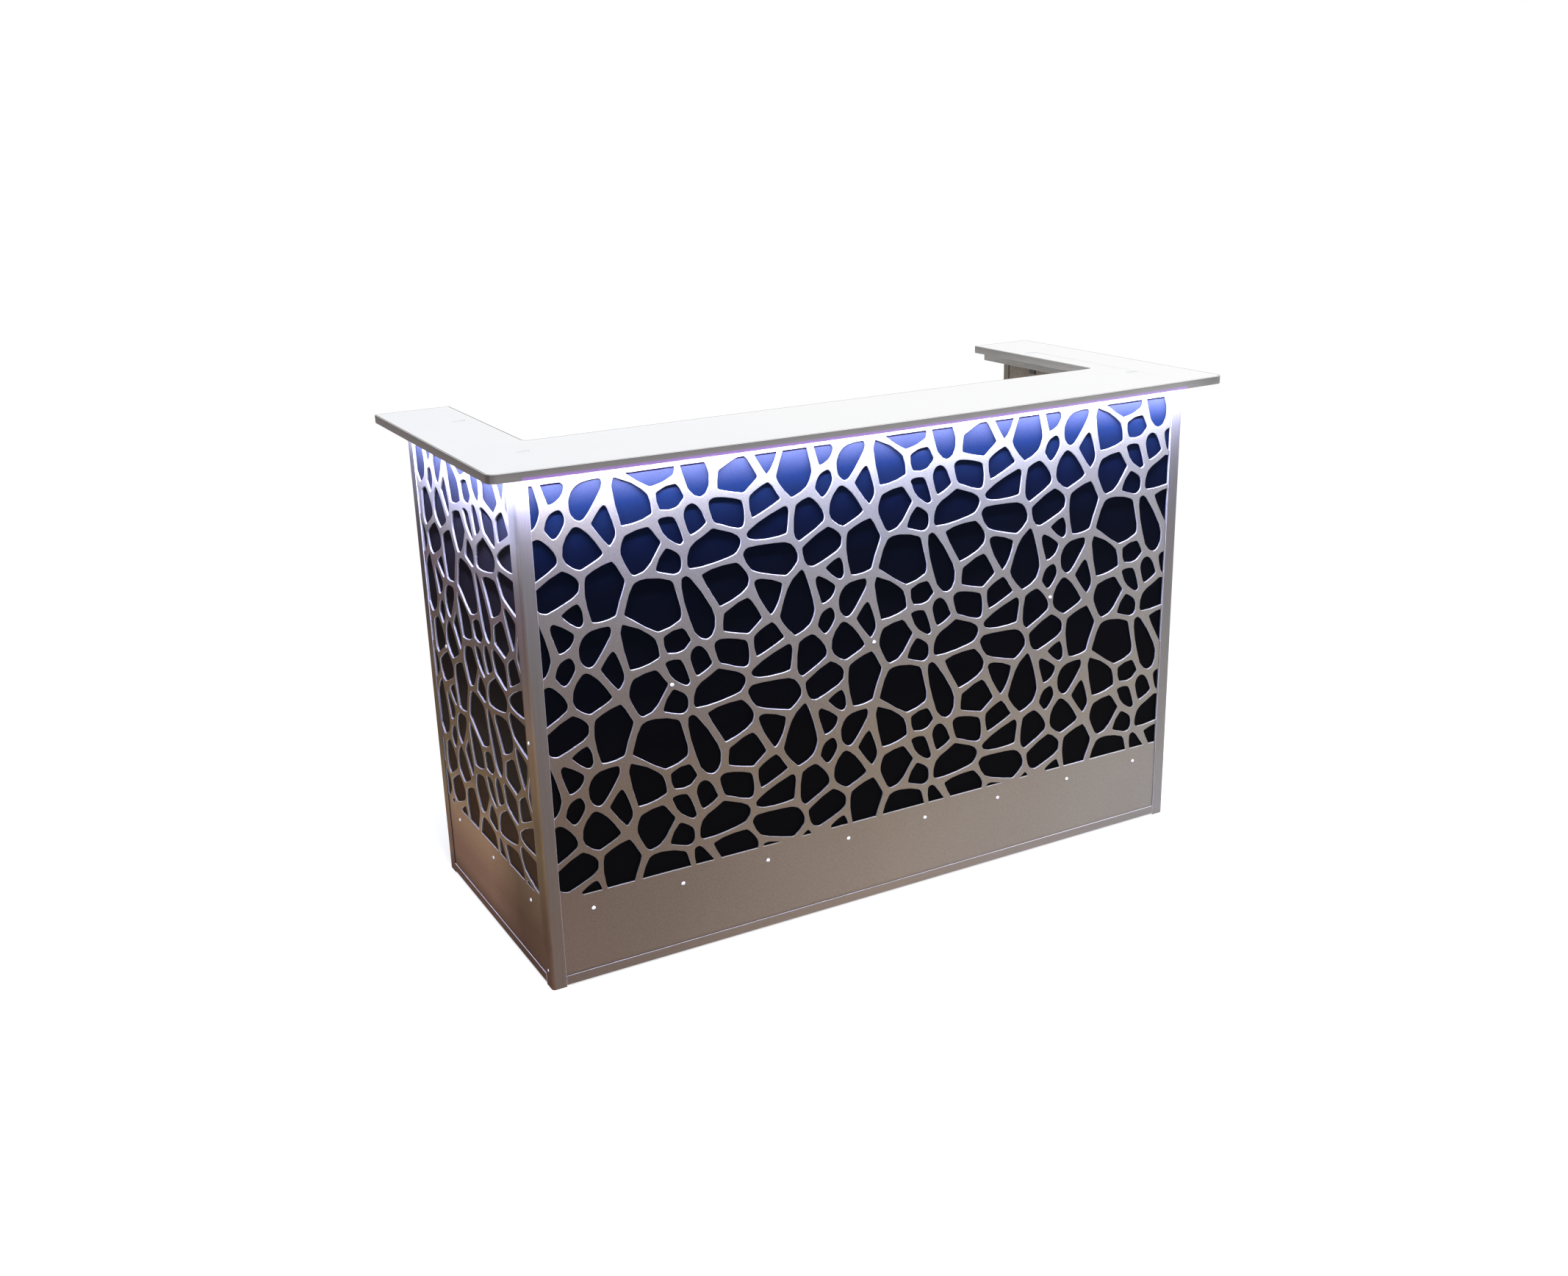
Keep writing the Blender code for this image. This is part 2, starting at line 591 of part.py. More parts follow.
def make_subtop():
    """The boards under the worktop that it is bolted down to."""
    inner_x = HALF_WIDTH + TOP_SIDE_OVERHANG - WING_WIDTH + SUBTOP_SETBACK
    inner_y = FRONT + FRONT_BAND_DEPTH - SUBTOP_SETBACK
    outer_x = HALF_WIDTH - INSIDE
    low = WALL_TOP - BOARD
    box("front_top_rail", (-outer_x, FRONT + INSIDE, low), (outer_x, inner_y, WALL_TOP), GREY)
    for side_name, side in SIDES.items():
        ends = sorted((side * inner_x, side * outer_x))
        rear = BACK - SUBTOP_REAR_SETBACK
        box(side_name + "_top_rail", (ends[0], inner_y + GAP, low), (ends[1], rear, WALL_TOP), GREY)


def make_shelves():
    """Two shelves across the inside, on side battens and centre uprights."""
    outer_x = HALF_WIDTH - INSIDE
    below = 0.0
    for name, top in (("lower", LOWER_SHELF_TOP), ("upper", COUNTER_HEIGHT - UPPER_SHELF_DROP)):
        underside = top - SHELF
        box(name + "_shelf", (-outer_x, FRONT + INSIDE, underside), (outer_x, FRONT + SHELF_DEPTH, top), GREY)
        rear = FRONT + SHELF_DEPTH - UPRIGHT_SETBACK
        box(name + "_upright", (-SHELF / 2, FRONT + INSIDE, below), (SHELF / 2, rear, underside - GAP), GREY)
        for side_name, side in SIDES.items():
            ends = sorted((side * (HALF_WIDTH - BACKING_INSIDE - GAP),
                           side * (HALF_WIDTH - BACKING_INSIDE - GAP - BATTEN_WIDTH)))
            low = (ends[0], FRONT + SIDE_LEG + BATTEN_CLEARANCE, underside - GAP - BATTEN_HEIGHT)
            high = (ends[1], FRONT + SHELF_DEPTH - BATTEN_SETBACK, underside - GAP)
            box(f"{side_name}_{name}_batten", low, high, GREY)
        below = top + GAP


def make_brackets():
    """Angle brackets between the walls and the boards under the worktop."""
    leg = BRACKET_LEG
    skin = BRACKET_SKIN
    section = [(0, -leg), (skin, -leg), (skin, -skin), (leg, -skin), (leg, 0), (0, 0)]
    wall_face = BACKING_INSIDE + GAP
    height = WALL_TOP - BOARD - GAP
    for side_name, side in SIDES.items():
        shape = [(-side * x, z) for x, z in section]
        place = (side * (HALF_WIDTH - wall_face), FRONT + SIDE_BRACKET_DEPTH, height)
        plate(side_name + "_side_bracket", [shape], BRACKET_WIDTH, STEEL, place, (math.pi / 2, 0, 0))
        place = (side * (HALF_WIDTH - FRONT_BRACKET_INSET), FRONT + wall_face, height)
        plate(side_name + "_front_bracket", [section], BRACKET_WIDTH, STEEL, place,
              (math.pi / 2, 0, math.pi / 2))


def make_driver(board_foot):
    """The driver of the lights, under the front board."""
    middle_x = DRIVER_PLACE[0] - HALF_WIDTH
    middle_y = FRONT + DRIVER_PLACE[1]
    half_x = DRIVER_SIZE[0] / 2
    half_y = DRIVER_SIZE[1] / 2
    driver = box("light_driver", (middle_x - half_x, middle_y - half_y, board_foot - DRIVER_SIZE[2]),
                 (middle_x + half_x, middle_y + half_y, board_foot), BLACK)
    bevel = driver.modifiers.new("edges", "BEVEL")
    bevel.width = DRIVER_BEVEL
    bevel.segments = 1


def make_inlet():
    """The socket for the supply, on the inside of the left wall."""
    wall_face = BACKING_INSIDE + GAP - HALF_WIDTH
    inlet_y = FRONT + INLET_PLACE[0]
    inlet_z = INLET_PLACE[1]
    low = Vector((wall_face, inlet_y - INLET_SIZE[1] / 2, inlet_z - INLET_SIZE[2] / 2))
    high = low + Vector(INLET_SIZE)
    inlet = box("supply_inlet", low, high, BLACK)
    margin = Vector((INLET_WALL, 0, INLET_WALL))
    pocket_low = low + margin
    pocket_low.y = high.y - INLET_POCKET
    pocket_high = high - margin
    pocket_high.y = high.y + INLET_WALL
    cut(inlet, block_cutter("inlet_pocket", pocket_low, pocket_high))


def make_switch(board_foot):
    """The switch under the front board's rear edge, facing the person behind the counter."""
    switch_x = SWITCH_PLACE - HALF_WIDTH
    face_y = FRONT + FRONT_BAND_DEPTH - SUBTOP_SETBACK - SWITCH_SETBACK
    pivot = Vector((switch_x, face_y - ROCKER_PIVOT_DEPTH, board_foot - SWITCH_SIZE[2] / 2))
    low = (switch_x - SWITCH_SIZE[0] / 2, face_y - SWITCH_SIZE[1], board_foot - SWITCH_SIZE[2])
    high = (switch_x + SWITCH_SIZE[0] / 2, face_y, board_foot)
    housing = box("switch_housing", low, high, BLACK)
    pocket_half = ROCKER_WIDTH / 2 + GAP
    pocket_low = (switch_x - pocket_half, face_y - POCKET_DEPTH, pivot.z - POCKET_HALF_HEIGHT)
    pocket_high = (switch_x + pocket_half, face_y + POCKET_DEPTH, pivot.z + POCKET_HALF_HEIGHT)
    cut(housing, block_cutter("switch_pocket", pocket_low, pocket_high))
    along_x = (0, math.pi / 2, 0)
    bore_length = ROCKER_WIDTH + 2 * (PIN_LENGTH + 2 * GAP)
    cut(housing, rod_cutter("pin_bore", PIN_RADIUS + GAP, bore_length, pivot, along_x, 12))
    make_rocker(pivot, along_x)


def make_rocker(pivot, along_x):
    """The rocker, tipped to its on position, with a pin at each side on the hinge line."""
    front = ROCKER_FACE
    half = ROCKER_HALF_HEIGHT
    profile = [
        (front, half), (ROCKER_SHOULDER, half), (-ROCKER_BACK, ROCKER_BACK_HALF),
        (-ROCKER_BACK, -ROCKER_BACK_HALF), (ROCKER_SHOULDER, -half), (front, -half), (ROCKER_HOLLOW, 0),
    ]
    tipped = []
    for depth, z in profile:
        point = Vector((depth, z))
        point.rotate(Matrix.Rotation(ROCKER_TILT, 2))
        tipped.append(tuple(point))
    upright = (math.pi / 2, 0, math.pi / 2)
    rocker = plate("rocker", [tipped], ROCKER_WIDTH, BLACK, pivot, upright)
    cut(rocker, rod_cutter("pins", PIN_RADIUS, ROCKER_WIDTH + 2 * PIN_LENGTH, pivot, along_x, 12), "UNION")


make_worktop()
make_walls()
make_posts()
make_rails()
make_lights()
make_subtop()
make_shelves()
make_brackets()
make_driver(WALL_TOP - BOARD - GAP)
make_inlet()
make_switch(WALL_TOP - BOARD - GAP)
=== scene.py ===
"""Looks of the illuminated bar counter: softened edges, finishes, glowing strips and a plain studio.

Lengths are metres in the counter's own frame: X is its width, -Y the guests' side and +Z up. The cells of
the screens are in millimetres, as they were read off the photograph.
"""

import json
import math

import bmesh
import bpy
from mathutils import Euler, Matrix, Vector


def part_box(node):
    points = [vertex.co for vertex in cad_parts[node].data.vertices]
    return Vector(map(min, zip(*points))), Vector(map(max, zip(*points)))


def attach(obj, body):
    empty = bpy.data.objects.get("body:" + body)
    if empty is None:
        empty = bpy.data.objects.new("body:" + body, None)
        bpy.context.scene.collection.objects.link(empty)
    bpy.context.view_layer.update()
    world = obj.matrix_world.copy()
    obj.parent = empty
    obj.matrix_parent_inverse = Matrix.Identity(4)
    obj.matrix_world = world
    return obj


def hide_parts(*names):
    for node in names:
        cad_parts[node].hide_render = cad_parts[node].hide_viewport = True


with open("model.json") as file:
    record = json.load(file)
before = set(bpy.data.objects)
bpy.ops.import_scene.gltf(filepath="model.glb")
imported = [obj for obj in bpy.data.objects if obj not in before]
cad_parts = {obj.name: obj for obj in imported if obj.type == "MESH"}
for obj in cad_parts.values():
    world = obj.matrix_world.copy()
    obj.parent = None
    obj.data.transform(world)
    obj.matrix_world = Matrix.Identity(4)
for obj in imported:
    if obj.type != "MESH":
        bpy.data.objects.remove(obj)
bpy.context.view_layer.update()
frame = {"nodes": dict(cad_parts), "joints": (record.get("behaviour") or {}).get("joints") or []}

# Places that the frame gives
TOP_LOW, TOP_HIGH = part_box("worktop")
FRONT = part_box("left_corner_post")[0].y
HALF_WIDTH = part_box("right_corner_post")[1].x
WALL_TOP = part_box("right_corner_post")[1].z
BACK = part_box("left_rear_post")[1].y
SHEET_OUT, SHEET_IN = (corner.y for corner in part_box("front_screen"))
SHEET = SHEET_IN - SHEET_OUT
SHEET_SETBACK = SHEET_OUT - FRONT

# The worktop: the part of its front edge with a painted glow of the strips' light, its band and its arris
PAINTED_GLOW_TOP = TOP_LOW.z + 0.0078
PAINTED_GLOW_END = HALF_WIDTH - 0.050
BAND_THICKNESS = 0.0032
WORKTOP_ARRIS = 0.0011
CAP_CLEARANCE = 0.030
CAP_STEPS = 40

# The posts: how near to the outer face a face's middle lies on it, and how far the rounded corner reaches
ON_FACE = 0.003
POST_CORNER = 0.0065

# The screens' windows and the repeat of their pattern
FRONT_LEG = 0.0315
REAR_LEG = 0.032
SIDE_CELLS_START = 0.044
TOP_BAND = 0.0267
KICK_BAND_TOP = 0.197
CELLS_TOP = WALL_TOP - TOP_BAND
PATTERN_WIDTH = 0.590
PATTERN_HEIGHT = 0.296
PATTERN_TOP = CELLS_TOP - 0.052
PATTERN_STARTS = {"front": 0.200 - HALF_WIDTH, "left": -(FRONT + 0.4165), "right": FRONT + 0.030}
SMALLEST_CELL = 0.0095
MM = 0.001

# Where the backing's top lies in the shade of the sheet's edge, and how much of each colour is left there
SHADE_EDGE = (CELLS_TOP - 0.0042, CELLS_TOP - 0.0037)
SHADE_TINT = (0.10, 0.055, 0.24)

# How far a cell's corners are cut back, and at most what share of an edge that takes
CORNER_CUTS = ((0.0026, 0.30), (0.0009, 0.25))
CELL_CHAMFER = 0.0004

# Fasteners, and the least angle of an edge that counts as sharp
RIVET_RADIUS = 0.0045
RIVET_HEIGHT = 0.0022
RIVET_PIT = 0.0005
RIVET_SEAT = 0.0003
SCREW_RADIUS = 0.0032
SCREW_HEIGHT = 0.0014
SCREW_PIT = 0.0006
SCREW_LENGTH = 0.004
ROUND_STEPS = 24
SIDE_RIVET_HEIGHT = 0.166
SIDE_RIVET_DEPTHS = (0.096, 0.3275, 0.5586)
POST_RIVET = (0.022, 0.541)
SHARP = math.radians(30)

# Brackets, driver and supply socket
BRACKET_SKIN = 0.0025
BRACKET_SCREW_INSET = 0.006
LID_INSET = 0.0030
LID_GROOVE = 0.0006
LID_DEPTH = 0.0008
DRIVER_SCREW_INSET = 0.010
SOCKET_POCKET = 0.018
BLADE_SIZE = (0.002, 0.013, 0.004)
BLADE_PLACES = ((-0.002, -0.010), (0.003, 0.0), (-0.002, 0.010))

# The tone of metal that faces sideways, by its height above the floor, brown at the left and grey at the
# right: painted light, shade and warm reflection, which stand for how light falls on the side walls
LEFT_PAINTED_LIGHT_TONES = (
    (0.10, (0.120, 0.068, 0.041)), (0.30, (0.225, 0.151, 0.079)), (0.50, (0.165, 0.108, 0.062)),
    (0.70, (0.122, 0.092, 0.075)), (0.80, (0.138, 0.100, 0.094)), (0.85, (0.140, 0.120, 0.108)),
    (0.90, (0.185, 0.164, 0.145)), (0.95, (0.190, 0.178, 0.168)),
)
RIGHT_PAINTED_LIGHT_TONES = ((0.20, (0.200, 0.187, 0.165)), (0.60, (0.170, 0.162, 0.152)), (0.95, (0.190, 0.184, 0.178)))

# The shader of metal that faces the guests, and of metal that faces sideways, which reflects less as
# painted shade of the sides
FRONT_SHADER = {"Metallic": 0.45, "Specular_IOR_Level": 0.1}
SIDE_SHADER = {"Metallic": 0.25, "Specular_IOR_Level": 0.0, "Specular_Tint": (0.50, 0.46, 0.44, 1)}

# The switch
ROCKER_TILT = math.radians(8)
ROCKER_FACE_SLOPE = math.atan2(0.0020, 0.0115)
ROCKER_FACE_MIDDLE = (0.0055, 0.00575)

# The camera, and the studio's light: the sun's and the world's levels together light a level white surface
# to about its own colour
CAMERA_PLACE = (-1.76795, -3.07987, 1.71703)
CAMERA_TURN = (71.5490, 1.5644, -29.1082)
CAMERA_LENS = 36.774
WORLD_LEVEL = 0.36
FLOOR_SIZE = 60.0
SUN_STRENGTH = 2.5
SUN_SIZE = 35
SUN_DIRECTION = (0.42, -0.50, 0.76)
KEY_PLACE = (2.5, -2.5, 1.7)
KEY_AIM = (0.8, -0.3, 0.6)
KEY_SIZE = 1.4
KEY_POWER = 25
STRIP_WIDTH = 0.010
STRIP_DROP = 0.0006
STRIP_POWER_PER_METRE = 20
STRIP_COLOUR = (0.58, 0.62, 1.0)
STRIP_DOTS = 0.0167

# Sockets of the Mix node when it mixes colours
MIX_FACTOR, MIX_A, MIX_B, MIX_RESULT = 0, 6, 7, 2

# The cells of one repeat, in millimetres to the right of and below its corner, seen from outside
CELLS = (
    ((4, 248), (40, 264), (62, 280), (74, 292), (80, 310), (82, 332), (60, 341), (37, 346), (15, 347),
     (5, 305), (-1, 265)),
    ((91, 291), (112, 281), (135, 279), (142, 287), (153, 309), (137, 326), (120, 330), (98, 327),
     (92, 312)),
    ((137, 176), (148, 172), (158, 180), (181, 212), (203, 251), (209, 270), (208, 292), (200, 308),
     (188, 314), (174, 309), (160, 293), (150, 262), (141, 228), (136, 195)),
    ((33, 170), (45, 165), (62, 164), (90, 168), (115, 177), (120, 184), (127, 212), (134, 240),
     (134, 254), (131, 262), (108, 273), (81, 279), (55, 264), (28, 244), (9, 231), (12, 220), (22, 190)),
    ((20, 71), (45, 63), (70, 60), (77, 66), (92, 88), (98, 96), (84, 118), (72, 136), (58, 149),
     (37, 155), (28, 148), (16, 124), (10, 108), (10, 96), (14, 82)),
    ((91, 51), (98, 47), (112, 46), (127, 49), (134, 61), (141, 80), (147, 102), (139, 108), (127, 102),
     (112, 91), (101, 77)),
    ((106, 109), (115, 112), (129, 121), (137, 129), (140, 140), (139, 155), (133, 164), (122, 166),
     (102, 160), (83, 153), (83, 146), (91, 127)),
    ((149, 42), (154, 32), (163, 27), (172, 28), (180, 34), (189, 47), (194, 60), (199, 71), (188, 80),
     (175, 87), (162, 92), (156, 82), (151, 65), (148, 52)),
    ((203, 31), (208, 25), (217, 22), (235, 24), (257, 29), (277, 36), (281, 43), (284, 60), (284, 78),
     (281, 91), (272, 94), (250, 88), (232, 80), (217, 75), (211, 67), (205, 46)),
    ((295, 31), (308, 21), (323, 13), (339, 7), (350, 18), (359, 33), (368, 46), (352, 55), (335, 63),
     (315, 72), (300, 77), (295, 57), (294, 42)),
    ((285, 109), (290, 102), (312, 88), (340, 75), (375, 62), (383, 65), (386, 76), (383, 102), (380, 121),
     (360, 124), (330, 125), (305, 123), (290, 118)),
    ((401, 64), (415, 56), (432, 51), (441, 55), (455, 69), (465, 83), (470, 96), (468, 107), (448, 121),
     (420, 136), (408, 142), (398, 133), (395, 120), (396, 92)),
    ((447, 36), (452, 19), (459, 8), (470, 2), (480, 0), (487, 7), (491, 19), (490, 29), (482, 43),
     (474, 53), (466, 58), (459, 53)),
    ((504, 39), (513, 38), (522, 43), (537, 57), (551, 76), (565, 99), (556, 107), (540, 115), (515, 126),
     (500, 119), (485, 106), (480, 93), (482, 72), (490, 55)),
    ((571, 3), (577, 9), (583, 24), (589, 42), (593, 58), (592, 70), (586, 80), (579, 88), (566, 73),
     (552, 53), (542, 37), (551, 24), (562, 10)),
    ((515, 256), (527, 250), (548, 247), (567, 247), (571, 254), (569, 266), (557, 286), (541, 309),
     (530, 322), (521, 326), (511, 321), (503, 311), (500, 297), (500, 281), (506, 266)),
    ((444, 230), (447, 224), (453, 223), (471, 233), (486, 244), (494, 252), (491, 265), (483, 276),
     (470, 284), (459, 286), (452, 265), (446, 245)),
    ((403, 208), (411, 202), (417, 206), (424, 223), (433, 251), (440, 280), (442, 297), (437, 313),
     (430, 325), (414, 336), (393, 344), (376, 327), (362, 308), (357, 295), (367, 263), (377, 238),
     (389, 220)),
    ((299, 213), (303, 207), (315, 206), (342, 213), (366, 224), (363, 243), (356, 263), (346, 280),
     (337, 289), (327, 275), (312, 250), (303, 228)),
    ((228, 265), (242, 258), (262, 247), (284, 241), (293, 249), (306, 270), (317, 291), (302, 304),
     (284, 319), (262, 314), (240, 308), (225, 303), (225, 287)),
    ((181, 176), (203, 168), (230, 164), (260, 163), (266, 166), (277, 178), (286, 191), (290, 203),
     (286, 218), (270, 231), (246, 242), (220, 250), (204, 222), (190, 197)),
    ((276, 150), (279, 142), (287, 136), (310, 135), (350, 136), (375, 138), (389, 144), (399, 156),
     (405, 170), (404, 184), (390, 200), (376, 210), (350, 204), (315, 194), (296, 186), (284, 170)),
    ((414, 156), (425, 148), (450, 132), (477, 120), (492, 128), (505, 139), (511, 150), (509, 167),
     (496, 178), (465, 192), (441, 201), (427, 197), (419, 186), (415, 170)),
    ((468, 209), (480, 200), (493, 193), (504, 190), (509, 197), (514, 210), (515, 230), (509, 239),
     (500, 238), (485, 227)),
    ((524, 139), (540, 130), (560, 122), (581, 117), (590, 129), (599, 146), (607, 161), (601, 179),
     (592, 201), (583, 229), (565, 234), (545, 236), (531, 234), (524, 205), (520, 175), (521, 152)),
    ((210, 84), (232, 92), (254, 100), (268, 109), (274, 120), (271, 132), (261, 145), (245, 150),
     (215, 156), (184, 160), (157, 160), (151, 153), (152, 134), (158, 117), (170, 106), (188, 97)),
)

# Where strands of the side screens meet and a rivet holds them: the repeat's column and row, and the place
# in it
JUNCTIONS = {"left": (-1, 1, 475, 110), "right": (0, 1, 475, 110)}
SIDES = {"left": -1, "right": 1}
WALLS = ("front", "left", "right")

# Which way along each wall, as its own X, the arrises with a painted highlight face
HIGHLIGHT_WAYS = {"front": -1, "left": 1, "right": -1}


# Places and turns

def rotation(x, y, z):
    """A turn about each axis as a matrix."""
    return Euler((x, y, z)).to_matrix().to_4x4()


def at(place, turn=Matrix.Identity(4)):
    """A place and a turn as one matrix."""
    return Matrix.Translation(place) @ turn


def middle_of(node):
    """The middle of a node's box."""
    low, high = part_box(node)
    return (low + high) / 2


def show(thing):
    """Put an object in the scene, and hand it back."""
    bpy.context.scene.collection.objects.link(thing)
    return thing


QUARTER = math.pi / 2
DOWN = rotation(math.pi, 0, 0)

# How each wall is turned, so that its own X runs to the right and its own Z points out of the counter
WALL_TURNS = {wall: rotation(QUARTER, 0, turn) for wall, turn in zip(WALLS, (0, -QUARTER, QUARTER))}


# Nodes of the finishes

def add_node(owner, kind, inputs=None, **settings):
    """Add a node to a finish or the world. Inputs are values, or the sockets they are linked from."""
    node = owner.node_tree.nodes.new("ShaderNode" + kind)
    for name, value in settings.items():
        setattr(node, name, value)
    for socket, value in (inputs or {}).items():
        connect(owner, node, socket, value)
    return node


def connect(owner, node, socket, value):
    """Give one input its value, or link it."""
    if isinstance(value, bpy.types.NodeSocket):
        owner.node_tree.links.new(value, node.inputs[socket])
    else:
        node.inputs[socket].default_value = value


def new_finish(name, **sockets):
    """A material with its shader; sockets are the shader's own, with _ for a space."""
    finish = bpy.data.materials.new(name)
    finish.use_nodes = True
    return set_shader(finish, **sockets)


def set_shader(finish, **sockets):
    """Set or link inputs of the finish's shader, and hand the finish back."""
    shader = finish.node_tree.nodes["Principled BSDF"]
    for name, value in sockets.items():
        connect(finish, shader, name.replace("_", " "), value)
    return finish


def place_on(finish, stretch=(1, 1, 1)):
    """The object's own coordinates, squeezed or stretched along each axis."""
    place = add_node(finish, "TexCoord").outputs["Object"]
    return add_node(finish, "Mapping", {"Vector": place, "Scale": stretch}).outputs["Vector"]


def noise(finish, per_metre, detail=2.0, stretch=(1, 1, 1), roughness=0.5):
    """Noise from 0 to 1, with so many waves in a metre."""
    inputs = {"Vector": place_on(finish, stretch), "Scale": per_metre, "Detail": detail,
              "Roughness": roughness}
    return add_node(finish, "TexNoise", inputs).outputs["Fac"]


def along(finish, axis):
    """One of the object's own coordinates."""
    place = add_node(finish, "TexCoord").outputs["Object"]
    return add_node(finish, "SeparateXYZ", {"Vector": place}).outputs[axis]


def ranged(owner, value, from_low, from_high, low, high):
    """Spread a value out from one range to another, held at both ends."""
    inputs = {"Value": value, "From Min": from_low, "From Max": from_high, "To Min": low, "To Max": high}
    return add_node(owner, "MapRange", inputs, clamp=True).outputs["Result"]


def fade(finish, axis, start, end, low=0.0, high=1.0):
    """A value that goes from low to high between two places on an axis, and is held past them."""
    return ranged(finish, along(finish, axis), start, end, low, high)


def spread(finish, value, low, high):
    """The middle of a noise's range, spread out from low to high."""
    return ranged(finish, value, 0.3, 0.7, low, high)


def math_node(owner, operation, *values):
    """Values added, multiplied or the like, one after the other."""
    result = values[0]
    for value in values[1:]:
        result = add_node(owner, "Math", {0: result, 1: value}, operation=operation).outputs["Value"]
    return result


def mixed(finish, share, first, second, blend_type="MIX"):
    """Two colours mixed by a share, or multiplied."""
    first, second = ((*c, 1) if isinstance(c, tuple) else c for c in (first, second))
    node = add_node(finish, "Mix", {MIX_FACTOR: share, MIX_A: first, MIX_B: second}, data_type="RGBA",
                    blend_type=blend_type)
    return node.outputs[MIX_RESULT]


def toned(finish, colour, *tones):
    """A colour made lighter or darker by values around 1."""
    tone = math_node(finish, "MULTIPLY", *tones)
    inputs = {"Red": tone, "Green": tone, "Blue": tone}
    grey = add_node(finish, "CombineColor", inputs).outputs["Color"]
    return mixed(finish, 1.0, colour, grey, "MULTIPLY")


def drifting(finish, heights, low, high):
    """A tone that drifts between two heights, each with its colours spread evenly from left to right."""
    across = fade(finish, "X", -HALF_WIDTH, HALF_WIDTH)
    rows = [ramp(finish, across, [(step / (len(row) - 1), colour) for step, colour in enumerate(row)])
            for row in (low, high)]
    return mixed(finish, fade(finish, "Z", *heights), *rows)


def ramp(finish, value, stops):
    """A colour from stops of (share, colour)."""
    node = add_node(finish, "ValToRGB", {"Fac": value})
    elements = node.color_ramp.elements
    while len(elements) < len(stops):
        elements.new(0.5)
    for element, (share, colour) in zip(elements, stops):
        element.position = share
        element.color = (*colour, 1)
    return node.outputs["Color"]


def by_height(finish, heights):
    """A colour from stops of (height above the floor, colour)."""
    low, high = heights[0][0], heights[-1][0]
    stops = [((height - low) / (high - low), colour) for height, colour in heights]
    return ramp(finish, fade(finish, "Z", low, high), stops)


def bumped(finish, height, depth, strength=0.6):
    """A bump of so many metres."""
    inputs = {"Height": height, "Distance": depth, "Strength": strength}
    return add_node(finish, "Bump", inputs).outputs["Normal"]


def surfaced(finish, base, texture, smoothest, roughest, depth=None):
    """Give a finish its colour, and its roughness and bump from one texture; hand the finish back."""
    if depth:
        set_shader(finish, Normal=bumped(finish, texture, depth))
    return set_shader(finish, Base_Color=base, Roughness=spread(finish, texture, smoothest, roughest))


# Finishes

def front_painted_light_tone(finish):
    """The tone of the front screen's face, with painted light and shade: darker and warmer low down towards
    the left, and less blue near the top where the strips light it.
    """
    base = drifting(finish, (0.40, 0.84),
                    ((0.110, 0.076, 0.053), (0.176, 0.138, 0.095), (0.208, 0.187, 0.154)),
                    ((0.145, 0.128, 0.120), (0.200, 0.197, 0.198), (0.206, 0.198, 0.196)))
    return mixed(finish, fade(finish, "Z", 0.88, 1.0), base, (1.0, 1.0, 0.84), "MULTIPLY")


def grained_sheet(name, shader, tone_of, roughness):
    """Satin silver with a fine grain and slow clouds of tone."""
    finish = new_finish(name, **shader)
    grain = noise(finish, 620, 3.0, roughness=0.7)
    clouds = noise(finish, 2.4, 1.0)
    tone = math_node(finish, "ADD", ranged(finish, grain, 0.25, 0.75, 0.78, 1.22),
                     spread(finish, clouds, -0.06, 0.06),
                     spread(finish, noise(finish, 240), -0.07, 0.07))
    rough = math_node(finish, "ADD", spread(finish, grain, roughness, roughness + 0.12),
                      spread(finish, clouds, -0.03, 0.03))
    return set_shader(finish, Base_Color=toned(finish, tone_of(finish), tone), Roughness=rough,
                      Normal=bumped(finish, grain, 0.00006))


def side_painted_light_tone(finish):
    """The colour of metal that faces sideways, with painted light and shade by height and side; a painted
    pool of light makes its foot lighter towards the rear.
    """
    across = fade(finish, "X", -HALF_WIDTH, HALF_WIDTH)
    base = mixed(finish, across, by_height(finish, LEFT_PAINTED_LIGHT_TONES), by_height(finish, RIGHT_PAINTED_LIGHT_TONES))
    lift = math_node(finish, "MULTIPLY", fade(finish, "Z", 0.18, 0.32, 1.0, 0.0),
                     fade(finish, "Z", 0.02, 0.06, 0.3, 1.0),
                     fade(finish, "Y", FRONT + 0.17, FRONT + 0.36, 0.0, 1.30))
    return toned(finish, base, math_node(finish, "ADD", lift, 1.0))


def cut_edge(name, dark, light, heights=(0.3, 0.5), foot=(1.0, 1.0)):
    """A bright sawn edge with fine strokes, brighter still as a painted highlight; low down its painted
    light may differ, left and right.
    """
    finish = new_finish(name, Metallic=0.35)
    strokes = noise(finish, 900)
    tone = fade(finish, "Z", *heights, fade(finish, "X", 0.0, 0.55, *foot), 1.0)
    base = toned(finish, mixed(finish, strokes, dark, light), tone)
    return surfaced(finish, base, strokes, 0.24, 0.38)


def drawn_front(finish):
    """The tone of drawn metal that faces the guests, with painted light and shade: darker and warmer low
    down towards the left, lighter at the top where the strips light it.
    """
    base = drifting(finish, (0.15, 0.80),
                    ((0.107, 0.076, 0.055), (0.175, 0.135, 0.093), (0.196, 0.180, 0.158)),
                    ((0.128, 0.116, 0.110), (0.132, 0.126, 0.126)))
    return toned(finish, base, fade(finish, "Z", 0.90, 1.00, 1.0, 1.25))


def drawn_side(finish):
    """The tone of drawn metal that faces sideways, with painted light and shade by height, and painted
    shade towards the rear.
    """
    rear = math_node(finish, "MULTIPLY", fade(finish, "Y", BACK - 0.050, BACK - REAR_LEG, 0.0, 0.45),
                     fade(finish, "Z", 0.32, 0.60))
    return toned(finish, side_painted_light_tone(finish), fade(finish, "Z", 0.06, 0.16, 1.25, 1.0),
                 fade(finish, "Z", 0.36, 0.56, 0.78, 1.6), fade(finish, "Z", 0.55, 0.86, 1.0, 0.62),
                 fade(finish, "Z", 0.94, 1.0, 1.0, 0.58), math_node(finish, "SUBTRACT", 1.0, rear))


